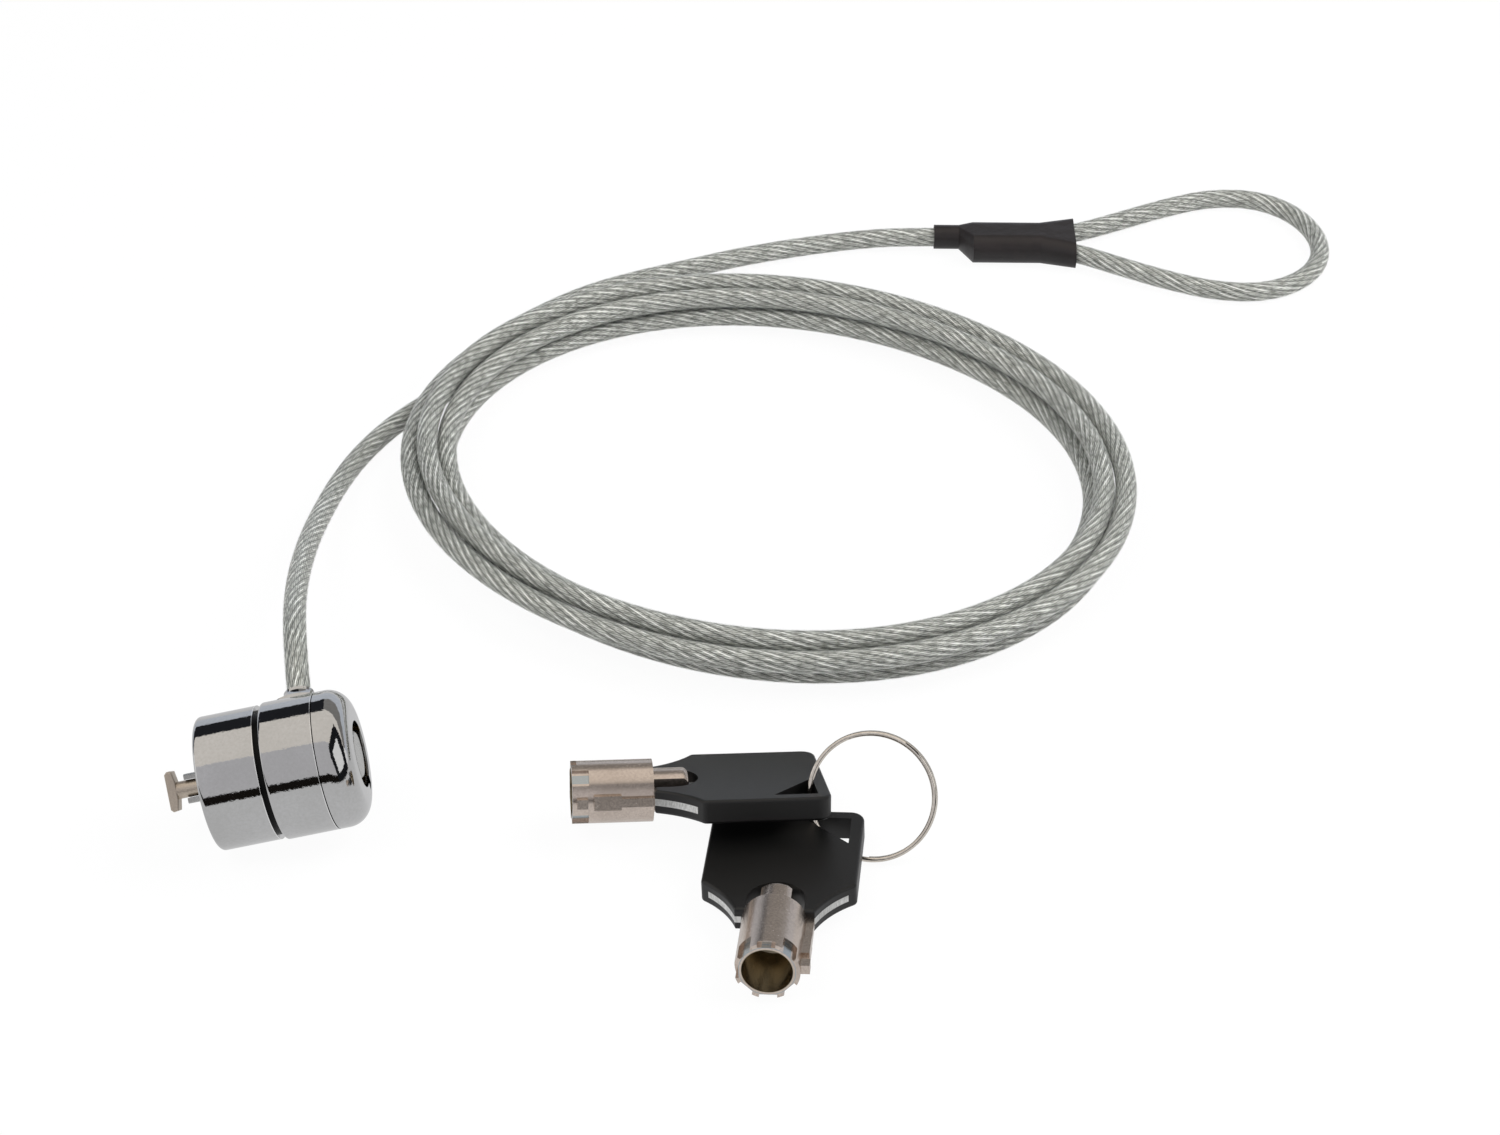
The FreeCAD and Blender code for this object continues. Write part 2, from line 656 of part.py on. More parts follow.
def key_plate():
    """Steel plate inside the bow, with the tang that the neck holds."""
    half = STRIP_THICKNESS / 2
    plate = bow_outline(half).extrude(V(0, 0, STRIP_THICKNESS))
    limit = BOW_WIDTH / 2 - STRIP_MARGIN
    window = bar(KEY_BARREL_LENGTH, KEY_LENGTH - STRIP_MARGIN, -limit, limit, -half, half)
    plate = plate.common(window).cut(ring_hole(STRIP_MARGIN, BOW_THICKNESS))
    plate = plate.cut(neck_notch(STRIP_MARGIN / 2, BOW_THICKNESS))
    notch_end = KEY_BARREL_LENGTH + BOW_NOTCH_DEPTH + STRIP_MARGIN
    start = KEY_BARREL_LENGTH + TANG_START + FIT
    tang = bar(start, notch_end, -TANG_WIDTH / 2, TANG_WIDTH / 2, -half, half)
    return plate.fuse(tang).removeSplitter()


def on_shoulder(edge):
    """Whether an edge stands on the corner between shoulder and side."""
    box = edge.BoundBox
    upright = box.XLength < TOUCH and box.YLength < TOUCH
    return upright and abs(box.XMin - SHOULDER_END) < TOUCH


def key_bow():
    """Moulded bow round the plate, with the ring's hole and the neck's notch."""
    body = bow_outline(BOW_THICKNESS / 2).extrude(V(0, 0, BOW_THICKNESS))
    shoulders = [edge for edge in body.Edges if on_shoulder(edge)]
    body = body.makeFillet(SHOULDER_ROUND, shoulders)
    body = body.makeFillet(BOW_EDGE, [edge for edge in body.Edges if edge.BoundBox.ZLength < TOUCH])
    body = body.cut(ring_hole(0, BOW_THICKNESS)).cut(neck_notch(0, BOW_THICKNESS))
    return body.cut(key_plate())


def rested(placement, shapes):
    """The placement, lifted or lowered until the shapes' lowest point meets the floor."""
    lowest = min(placed(shape, placement).optimalBoundingBox(False, False).ZMin for shape in shapes)
    lift = FreeCAD.Placement(V(0, 0, REST_GAP - lowest), FreeCAD.Rotation())
    return lift.multiply(placement)


def key_placement(hole, yaw, pitch, roll, shapes):
    """Where a key lies: local X from the mouth to the bow, local Z through its top face."""
    turn = FreeCAD.Rotation(V(0, 0, 1), yaw)
    turn = turn.multiply(FreeCAD.Rotation(V(0, 1, 0), pitch))
    turn = turn.multiply(FreeCAD.Rotation(V(1, 0, 0), roll))
    mouth = V(hole[0], hole[1], 0) - middle() - turn.multVec(hole_corner())
    return rested(FreeCAD.Placement(mouth, turn), shapes)


def placed(shape, placement):
    """A copy carried by a placement."""
    copy = shape.copy()
    copy.Placement = placement.multiply(copy.Placement)
    return copy


def biarc(start, start_way, end, end_way):
    """Two arcs that leave one point and reach another along given directions."""
    chord = end - start
    total = start_way + end_way
    square = 2.0 * (1.0 - start_way.dot(end_way))
    pull = chord.dot(total)
    reach = chord.dot(chord) / (2.0 * pull) if square < 1e-9 else (
        (-pull + math.sqrt(pull * pull + square * chord.dot(chord))) / square)
    first = start + start_way * reach
    second = end - end_way * reach
    joint = (first + second) * 0.5
    return [bent(start, first, joint), bent(joint, second, end)]


def bent(start, corner, end):
    """Arc that touches both legs of a corner, or a line where there is no turn."""
    middle_point = (start + end) * 0.5
    height = (corner - middle_point).Length
    if height < 1e-5:
        return Part.makeLine(start, end)
    half_chord = (end - start).Length / 2
    sagitta = half_chord * math.tan(math.atan(height / half_chord) / 2)
    top = middle_point + (corner - middle_point) * (sagitta / height)
    return Part.Arc(start, top, end).toShape()


def coil_point(turn):
    """Cable's middle at a place in the coil, counted in turns from the lead's side."""
    angle = math.radians(COIL_START) - 2 * math.pi * turn
    strand = math.radians(STRAND_START - STRAND_STEP * turn)
    radius = COIL_R + COIL_OVAL_COS * math.cos(2 * angle) + COIL_OVAL_SIN * math.sin(2 * angle)
    radius += STRAND_CIRCLE * math.cos(strand)
    height = REST_GAP + CABLE_R + STRAND_CIRCLE + STRAND_CIRCLE * math.sin(strand)
    x = COIL_MIDDLE[0] + radius * math.cos(angle)
    y = COIL_MIDDLE[1] + radius * math.sin(angle)
    return V(x, y, height) - middle()


def coil_way(turn):
    """Direction of the cable at a place in the coil."""
    step = 1e-4
    return (coil_point(turn + step) - coil_point(turn - step)).normalize()


def coil_ends():
    """End points of the coil's straight ends, with their directions outward."""
    start = coil_point(0) - coil_way(0) * COIL_END_RUN
    end = coil_point(COIL_TURNS) + coil_way(COIL_TURNS) * COIL_END_RUN
    return start, end


def round_tube(wire, start, way, radius):
    """Pipe of a round section along a wire."""
    section = Part.Wire(Part.makeCircle(radius, start, way))
    return wire.makePipeShell([section], True, False)


def cable_coil():
    """Four turns that wind round one another, as one tube."""
    start, end = coil_ends()
    edges = [Part.makeLine(start, coil_point(0))]
    quarters = 4 * COIL_TURNS
    for number in range(quarters):
        here = number / 4.0
        there = (number + 1) / 4.0
        edges += biarc(coil_point(here), coil_way(here), coil_point(there), coil_way(there))
    edges.append(Part.makeLine(coil_point(COIL_TURNS), end))
    return round_tube(Part.Wire(edges), start, coil_way(0), CABLE_R)


def coil_gap():
    """Least gap between turns, measured on points."""
    samples = 240
    points = [coil_point(number / float(samples)) for number in range(COIL_TURNS * samples + 1)]
    least = 1e9
    for first in range(0, len(points), 4):
        for second in range(first + samples // 2, len(points)):
            least = min(least, (points[first] - points[second]).Length)
    return least - 2 * CABLE_R


def bent_route(points, name):
    """Straight runs joined by tangent arcs, each as large as its two runs allow."""
    edges = []
    here = points[0]
    radii = []
    for before, corner, after in zip(points, points[1:], points[2:]):
        leg_in = (corner - before).Length
        leg_out = (after - corner).Length
        reach = ARC_SHARE * min(leg_in, leg_out)
        way_in = (corner - before).normalize()
        way_out = (after - corner).normalize()
        turn = way_in.getAngle(way_out)
        radii.append(reach / math.tan(turn / 2))
        start = corner - way_in * reach
        end = corner + way_out * reach
        edges.append(Part.makeLine(here, start))
        edges.append(bent(start, corner, end))
        here = end
    edges.append(Part.makeLine(here, points[-1]))
    print(name, "radii", [round(radius, 1) for radius in radii])
    return Part.Wire(edges)


def cable_stretch(points, name):
    """Round tube along a route of points."""
    wire = bent_route(points, name)
    way = (points[1] - points[0]).normalize()
    solid = round_tube(wire, points[0], way, CABLE_R)
    expected = math.pi * CABLE_R ** 2 * wire.Length
    print(name, "length", round(wire.Length, 1), "volume share", round(solid.Volume / expected, 5))
    return solid


def world_points(points):
    """Route points in the part's frame."""
    return [V(*point) - middle() for point in points]


def lead_route():
    """From the stop in the collar through the boss to the coil."""
    placement = head_placement()
    out = roll_direction(BOSS_ROLL)
    seat = placement.multVec(V(BOSS_PLACE, 0, 0) + out * STOP_SEAT)
    after = placement.multVec(V(BOSS_PLACE, 0, 0) + out * (STOP_SEAT + LEAD_STRAIGHT))
    joint = coil_ends()[0]
    return [seat, after] + world_points(LEAD_POINTS) + [joint - coil_way(0) * COIL_LEAD_IN, joint]


def sleeve_placement():
    """The sleeve's own frame: X along it from the narrow end, Y across, Z up."""
    turn = FreeCAD.Rotation(V(0, 0, 1), SLEEVE_YAW)
    height = WIDE_HEIGHT + SLEEVE_WALL + REST_GAP
    return FreeCAD.Placement(V(SLEEVE_START[0], SLEEVE_START[1], height) - middle(), turn)


def tail_route():
    """From the coil into the crimp."""
    placement = sleeve_placement()
    half = LEG_SPACING / 2
    before = placement.multVec(V(-TAIL_RUN, half, 0))
    end = placement.multVec(V(FERRULE_START + FERRULE_LENGTH / 2, half, 0))
    joint = coil_ends()[1]
    onward = joint + coil_way(COIL_TURNS) * COIL_LEAD_IN
    return [joint, onward] + world_points(TAIL_POINTS) + [before, end]


def loop_route():
    """From the crimp round the loop and back into the crimp."""
    placement = sleeve_placement()
    half = LEG_SPACING / 2
    ferrule_end = FERRULE_START + FERRULE_LENGTH
    start = placement.multVec(V(ferrule_end - FERRULE_LENGTH / 2, half, 0))
    out = placement.multVec(V(ferrule_end + LEG_STRAIGHT, half, 0))
    spread_out = placement.multVec(V(LEG_BEND, half + LEG_SPREAD, 0))
    spread_back = placement.multVec(V(LEG_BEND, -half - LEG_SPREAD, 0))
    back = placement.multVec(V(ferrule_end + LEG_STRAIGHT, -half, 0))
    end = placement.multVec(V(FERRULE_START, -half, 0))
    route = [start, out, spread_out] + world_points(LOOP_POINTS)
    return route + [spread_back, back, end]


def stadium(x, side, half_width, half_height):
    """Flat-sided oval across the sleeve, from two lines and four quarter arcs."""
    flat = half_width - half_height
    lean = half_height * math.sqrt(0.5)
    right = side + flat
    left = side - flat
    edges = [
        Part.makeLine(V(x, left, half_height), V(x, right, half_height)),
        Part.Arc(V(x, right, half_height), V(x, right + lean, lean), V(x, right + half_height, 0)).toShape(),
        Part.Arc(V(x, right + half_height, 0), V(x, right + lean, -lean), V(x, right, -half_height)).toShape(),
        Part.makeLine(V(x, right, -half_height), V(x, left, -half_height)),
        Part.Arc(V(x, left, -half_height), V(x, left - lean, -lean), V(x, left - half_height, 0)).toShape(),
        Part.Arc(V(x, left - half_height, 0), V(x, left - lean, lean), V(x, left, half_height)).toShape(),
    ]
    return Part.Wire(edges)


def sleeve_loft(grow, extra):
    """The sleeve's form from the narrow end to the flared mouth."""
    narrow = CABLE_R + FIT + grow
    side = LEG_SPACING / 2
    wide_start = NARROW_LENGTH + NARROW_STEP
    flare_start = SLEEVE_LENGTH - MOUTH_FLARE
    sections = [
        stadium(-extra, side, narrow + FIT, narrow),
        stadium(NARROW_LENGTH - grow, side, narrow + FIT, narrow),
        stadium(wide_start - grow, 0, WIDE_HALF + grow, WIDE_HEIGHT + grow),
        stadium(flare_start, 0, WIDE_HALF + grow, WIDE_HEIGHT + grow),
        stadium(SLEEVE_LENGTH + extra, 0, MOUTH_HALF + grow, MOUTH_HEIGHT + grow),
    ]
    return Part.makeLoft(sections, True, True)


def shrink_sleeve():
    """Shrunk plastic sleeve over the crimp, with no print on it."""
    return sleeve_loft(SLEEVE_WALL, 0).cut(sleeve_loft(0, TOUCH))


def loop_ferrule():
    """Pressed metal crimp with one bore for each leg of the loop."""
    half = LEG_SPACING / 2
    height = CABLE_R + FERRULE_WALL
    outline = stadium(FERRULE_START, 0, half + height, height)
    body = Part.Face(outline).extrude(V(FERRULE_LENGTH, 0, 0))
    for side in (-half, half):
        bore = rod(CABLE_R + FIT, FERRULE_START - CUT_PAST, FERRULE_START + FERRULE_LENGTH + CUT_PAST)
        bore.translate(V(0, side, 0))
        body = body.cut(bore)
    return body


def ring_placement(ring):
    """The split ring's own frame: Z along the ring's axis, Y up the slope; it rests on the floor."""
    slope = math.radians(RING_SLOPE)
    turn = math.radians(RING_TURN)
    along = V(math.cos(turn), -math.sin(turn), 0)
    flat = V(-math.sin(turn), -math.cos(turn), 0) * math.sin(slope)
    axis = flat + V(0, 0, math.cos(slope))
    place = rigid(V(RING_MIDDLE[0], RING_MIDDLE[1], 0) - middle(), along, axis.cross(along), axis)
    return rested(place, [ring])


def ring_point(angle):
    """Wire's middle at an angle in degrees; the windings lie side by side."""
    turn = math.radians(angle)
    shift = RING_PITCH * (angle - (RING_FROM + RING_TO) / 2) / 360.0
    return V(RING_R * math.cos(turn), RING_R * math.sin(turn), shift)


def ring_way(angle):
    """Direction of the wire at an angle in degrees."""
    return (ring_point(angle + 0.01) - ring_point(angle - 0.01)).normalize()


def key_ring():
    """Split ring of one wire, wound a turn and a half."""
    steps = 6
    span = (RING_TO - RING_FROM) / steps
    edges = []
    for number in range(steps):
        here = RING_FROM + span * number
        there = here + span
        edges += biarc(ring_point(here), ring_way(here), ring_point(there), ring_way(there))
    return round_tube(Part.Wire(edges), ring_point(RING_FROM), ring_way(RING_FROM), RING_WIRE_R)


HEAD_PIECES = {
    "nose_barrel": nose_barrel,
    "front_washer": front_washer,
    "swivel_collar": swivel_collar,
    "rear_cap": rear_cap,
    "cable_end_stop": cable_end_stop,
    "guide_ears": guide_ears,
    "t_bar": t_bar,
    "spindle_clip": spindle_clip,
    "stop_disc": stop_disc,
    "spacer_tube": spacer_tube,
    "pin_housing": pin_housing,
    "driver_pins": driver_pins,
    "pin_springs": pin_springs,
    "cylinder_shell": cylinder_shell,
    "lock_plug": lock_plug,
    "plug_post": plug_post,
    "key_pins": key_pins,
}


def main():
    """Write one file for each piece."""
    os.makedirs("parts", exist_ok=True)
    pieces = {}
    head = head_placement()
    for name, maker in HEAD_PIECES.items():
        pieces[name] = placed(maker(), head)
    pieces["cross_pin"] = placed(cross_pin_rod(CROSS_PIN_R), head)
    barrel = key_barrel()
    plate = key_plate()
    bow = key_bow()
    ends = [barrel, bow]
    key_a = key_placement(KEY_A_HOLE, KEY_A_YAW, KEY_A_PITCH, KEY_A_ROLL, ends)
    key_b = key_placement(KEY_B_HOLE, KEY_B_YAW, KEY_B_PITCH, KEY_B_ROLL, ends)
    for letter, placement in (("a", key_a), ("b", key_b)):
        pieces["key_%s_barrel" % letter] = placed(barrel, placement)
        pieces["key_%s_plate" % letter] = placed(plate, placement)
        pieces["key_%s_bow" % letter] = placed(bow, placement)
        print("key", letter, "mouth", placement.Base, "axis", placement.Rotation.multVec(V(1, 0, 0)))
    ring = key_ring()
    pieces["key_ring"] = placed(ring, ring_placement(ring))
    pieces["shrink_sleeve"] = placed(shrink_sleeve(), sleeve_placement())
    pieces["loop_ferrule"] = placed(loop_ferrule(), sleeve_placement())
    pieces["cable_lead"] = cable_stretch(lead_route(), "cable_lead")
    pieces["cable_tail"] = cable_stretch(tail_route(), "cable_tail")
    pieces["cable_loop"] = cable_stretch(loop_route(), "cable_loop")
    pieces["cable_coil"] = cable_coil()
    print("least gap between the coil's turns", round(coil_gap(), 3))
    for name, shape in pieces.items():
        shape.exportStep("parts/%s.step" % name)
        box = shape.BoundBox
        print(name, shape.isValid(), len(shape.Solids), "z %.2f" % box.ZMin)


main()
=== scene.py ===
"""Looks of a laptop cable lock: chrome lock head, clear-coated steel cable, loop and two tubular keys."""

import logging
import math
from collections.abc import Callable
from dataclasses import dataclass
from enum import Enum

import bpy
import numpy as np
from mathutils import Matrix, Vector

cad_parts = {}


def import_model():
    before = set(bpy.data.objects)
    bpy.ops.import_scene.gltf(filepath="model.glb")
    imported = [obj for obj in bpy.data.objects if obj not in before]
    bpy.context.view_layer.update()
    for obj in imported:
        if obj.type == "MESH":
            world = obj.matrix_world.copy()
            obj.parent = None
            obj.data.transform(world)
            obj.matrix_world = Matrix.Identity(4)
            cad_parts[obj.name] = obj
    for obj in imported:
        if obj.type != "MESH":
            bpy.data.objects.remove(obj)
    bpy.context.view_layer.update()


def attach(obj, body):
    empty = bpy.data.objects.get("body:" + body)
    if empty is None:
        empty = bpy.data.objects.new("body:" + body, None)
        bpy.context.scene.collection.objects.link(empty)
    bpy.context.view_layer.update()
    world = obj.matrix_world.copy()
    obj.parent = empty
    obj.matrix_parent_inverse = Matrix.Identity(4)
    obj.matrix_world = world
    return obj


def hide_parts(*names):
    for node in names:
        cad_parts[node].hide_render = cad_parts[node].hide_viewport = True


LOG = logging.getLogger("cable_lock")

Point = tuple[float, float, float]
Stops = tuple[tuple[float, str], ...]
Socket = bpy.types.NodeSocket
Tint = Callable[["Recipe", Socket, Socket], tuple[Socket, Socket]]


def linear(code: str) -> tuple[float, float, float, float]:
    """Turn an sRGB hex colour into linear light.

    Args:
        code: six hex digits, with or without a leading #.

    Returns:
        Red, green, blue and an alpha of 1.
    """
    digits = code.lstrip("#")
    values = [int(digits[place:place + 2], 16) / 255 for place in (0, 2, 4)]
    light = [v / 12.92 if v <= 0.04045 else ((v + 0.055) / 1.055) ** 2.4 for v in values]
    return (light[0], light[1], light[2], 1.0)


class Ways(Enum):
    """Rays that see a white studio where others see its plain light."""

    CAMERA = "Is Camera Ray"
    GLOSSY = "Is Glossy Ray"
    THROUGH = "Is Transmission Ray"


class Recipe:
    """A node tree that is put together one node at a time."""

    def __init__(self, owner: bpy.types.Material | bpy.types.World) -> None:
        """Start with an empty tree.

        Args:
            owner: the material or world that the tree belongs to.
        """
        owner.use_nodes = True
        self.owner = owner
        self.tree = owner.node_tree
        self.tree.nodes.clear()

    def add(self, kind: str, settings: dict | None = None, stops: Stops = (), **inputs: object) -> bpy.types.Node:
        """Add a node with its settings and links.

        Args:
            kind: Blender's type name without its ShaderNode prefix.
            settings: properties of the node itself.
            stops: places from 0 to 1 with their hex colours, where the node has a colour band.
            inputs: socket names with _ for a space, or i and a number, each a value or an output socket.

        Returns:
            The new node.
        """
        node = self.tree.nodes.new("ShaderNode" + kind)
        for key, value in (settings or {}).items():
            setattr(node, key, value)
        for number, (place, code) in enumerate(stops):
            band = node.color_ramp.elements
            element = band[number] if number < len(band) else band.new(place)
            element.position = place
            element.color = linear(code)
        for key, value in inputs.items():
            socket = node.inputs[int(key[1:]) if key[1:].isdigit() else key.replace("_", " ")]
            if isinstance(value, Socket):
                self.tree.links.new(value, socket)
            else:
                socket.default_value = value
        return node


@dataclass(frozen=True)
class Finish:
    """A surface with a grain: two colours, a range of roughness and a fine relief."""

    name: str
    colour: str
    shade: str
    metallic: float
    roughness: tuple[float, float]
    grain_mm: float
    relief_mm: float = 0.0
    stretch: Point = (1.0, 1.0, 1.0)
    ior: float = 1.5
    cloud_mm: float = 11.0
    tone_range: tuple[float, float] = (0.12, 0.42)
    grain_strength: float = 0.6

    def build(self, tint: Tint | None = None) -> bpy.types.Material:
        """Make the material.

        Args:
            tint: adds nodes of its own and returns the colour and the grain's strength there.

        Returns:
            A Principled material whose noise is as coarse as the grain.
        """
        recipe = Recipe(bpy.data.materials.new(self.name))
        place = recipe.add("TexCoord").outputs["Object"]
        (dark, light), (low, high) = self.tone_range, self.roughness
        drawn = recipe.add("Mapping", Vector=place, Scale=self.stretch)
        grain = recipe.add("TexNoise", Vector=drawn.outputs[0], Scale=1000 / self.grain_mm, Detail=3.0)
        broad = recipe.add("TexNoise", Vector=place, Scale=1000 / self.cloud_mm, Detail=2.0)
        mixed = recipe.add("Math", {"operation": "MULTIPLY"}, i0=grain.outputs["Fac"], i1=broad.outputs["Fac"])
        tone = recipe.add("ValToRGB", stops=((dark, self.shade), (light, self.colour)), Fac=mixed.outputs[0])
        rough = recipe.add("MapRange", Value=grain.outputs["Fac"], To_Min=low, To_Max=high)
        colour, depth = tone.outputs["Color"], self.grain_strength
        if tint:
            colour, depth = tint(recipe, place, colour)
        skin = recipe.add("BsdfPrincipled", Base_Color=colour, Roughness=rough.outputs["Result"],
                          Metallic=self.metallic)
        if not self.metallic:
            skin.inputs["IOR"].default_value = self.ior
        if self.relief_mm:
            bump = recipe.add("Bump", Height=grain.outputs["Fac"], Strength=depth, Distance=self.relief_mm / 1000)
            recipe.tree.links.new(bump.outputs[0], skin.inputs["Normal"])
        recipe.add("OutputMaterial", Surface=skin.outputs[0])
        return recipe.owner


# Bright chrome plate on die-cast zinc: clean reflections over a faint orange peel of about half a millimetre.
CHROME = Finish("bright_chrome_plate", "#CBCBCB", "#C0C0BF", 1.0, (0.03, 0.07), 0.5, 0.018)
# The same plate on the shells' rims, white so that they show a painted highlight beside each gap, with a peel 0.3
# mm wide.
RIM_HIGHLIGHT = Finish("chrome_rim_painted_highlight", "#FFFFFF", "#F4F4F2", 1.0, (0.10, 0.16), 0.3)
# Nickel plate on turned brass: soft reflections with a beige cast and clouds 6 mm wide.
NICKEL = Finish("nickel_plated_brass", "#DDD0C5", "#C6B9AE", 1.0, (0.20, 0.30), 0.35, 0.005, cloud_mm=6.0)
# Tumbled cast steel of the T-bar: dull and brownish, with pits 0.2 mm wide.
CAST = Finish("tumbled_cast_steel", "#DCD0C0", "#BFB3A5", 1.0, (0.34, 0.50), 0.22, 0.02)
# Turned steel of the plug, clip and stop disc, its grain 0.25 mm wide.
TURNED = Finish("turned_steel", "#C4C4C1", "#A2A29F", 1.0, (0.22, 0.34), 0.25, 0.01)
# Turned brass inside the cylinder, its grain 0.3 mm wide.
BRASS = Finish("turned_brass", "#C8A45A", "#A98745", 1.0, (0.22, 0.36), 0.3, 0.01)
# Stamped steel plate that shows at the bow's shoulders: bright, with shear marks 0.25 mm wide across it.
STAMPED = Finish("stamped_steel", "#F0F0EE", "#B5B5B2", 1.0, (0.30, 0.50), 0.25, 0.04, (1.0, 1.0, 0.25))
# Polished spring-steel wire of the split ring, with drawing marks 0.5 mm wide.
WIRE = Finish("polished_spring_wire", "#EFE8DE", "#CFC7BC", 1.0, (0.03, 0.08), 0.5)
# Moulded ABS of the bows: near black and even, with a spark-eroded grain 0.16 mm wide.
MOULDED = Finish("grained_black_abs", "#0A0A09", "#070707", 0.0, (0.38, 0.46), 0.16, 0.0015, ior=1.53)
# Nylon washer between nose and collar: near black and dull, with a low IOR so that it reflects little, its grain
# 0.3 mm wide; its near black is painted shadow of the gap between nose and collar.
NYLON_GAP_SHADE = Finish("black_nylon_painted_gap_shade", "#040404", "#020202", 0.0, (0.30, 0.45), 0.3, 0.004, ior=1.25)
# Heat-shrink polyolefin: brown-black and satin, wavy over 3 mm where it shrank.
SHRINK = Finish("shrunk_polyolefin", "#1E1818", "#161212", 0.0, (0.34, 0.46), 3.0, 0.25, ior=1.49)
# Pressed aluminium crimp, its grain 0.4 mm wide.
CRIMP = Finish("pressed_aluminium", "#C2C2BE", "#9A9A97", 1.0, (0.30, 0.45), 0.4, 0.03)


def dress(name: str, material: bpy.types.Material) -> None:
    """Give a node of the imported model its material.

    Args:
        name: the node's name.
        material: what it gets in every slot.
    """
    for place in bpy.data.objects[name].material_slots:
        place.material = material


@dataclass
class LockHead:
    """Chrome lock head: its shells and their rims, its T-bar and the works inside; lengths in millimetres."""

    shells: tuple[str, ...] = ("nose_barrel", "swivel_collar", "rear_cap")
    turned: tuple[str, ...] = ("guide_ears", "spindle_clip", "stop_disc", "pin_springs", "lock_plug", "plug_post",
                               "cross_pin")
    brass: tuple[str, ...] = ("spacer_tube", "pin_housing", "driver_pins", "cylinder_shell", "key_pins")
    front: Point = (-52.693, 10.983, 10.239)
    axis: Point = (0.97984, 0.09090, 0.17794)
    rims: tuple[tuple[str, str, float, float], ...] = (
        ("nose_rim", "barrel", 9.37, 10.45),
        ("collar_rim", "cable", 18.52, 10.70),
    )
    rim_round: float = 0.07
    rim_segments: tuple[int, int] = (144, 12)

    def rim(self, name: str, body: str, place: float, radius: float) -> bpy.types.Object:
        """Model the round beside a gap between two shells, white so that it shows a painted highlight.

        Args:
            name: the piece's name.
            body: the body that it moves with.
            place: how far it lies behind the nose's front.
            radius: how far it lies from the axis.

        Returns:
            The finished piece, at the origin and unturned.
        """
        middle = (Vector(self.front) + Vector(self.axis) * place) / 1000
        turn = Vector(self.axis).to_track_quat("Z", "Y").to_euler()
        around, across = self.rim_segments
        bpy.ops.object.select_all(action="DESELECT")
        bpy.ops.mesh.primitive_torus_add(
            location=middle, rotation=turn, major_radius=radius / 1000, minor_radius=self.rim_round / 1000,
            major_segments=around, minor_segments=across,
        )
        piece = bpy.context.active_object
        piece.name = name
        bpy.ops.object.shade_smooth()
        bpy.ops.object.transform_apply(location=True, rotation=True, scale=True)
        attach(piece, body)
        return piece

    def build(self) -> None:
        """Dress every node of the head and add the rims."""
        # The front washer's near-black finish is painted shadow of the gap between nose and collar.
        groups = ((self.shells, CHROME), (("front_washer",), NYLON_GAP_SHADE), (("t_bar",), CAST), (self.turned, TURNED),
                  (self.brass, BRASS), (("cable_end_stop",), CRIMP))
        for names, finish in groups:
            material = finish.build()
            for name in names:
                dress(name, material)
                LOG.info("%s: %s", name, finish.name)
        # The rims are white chrome: a painted highlight along the edges of each gap.
        rim_highlight = RIM_HIGHLIGHT.build()
        for name, body, place, radius in self.rims:
            self.rim(name, body, place, radius).data.materials.append(rim_highlight)
            LOG.info("%s: %s", name, RIM_HIGHLIGHT.name)


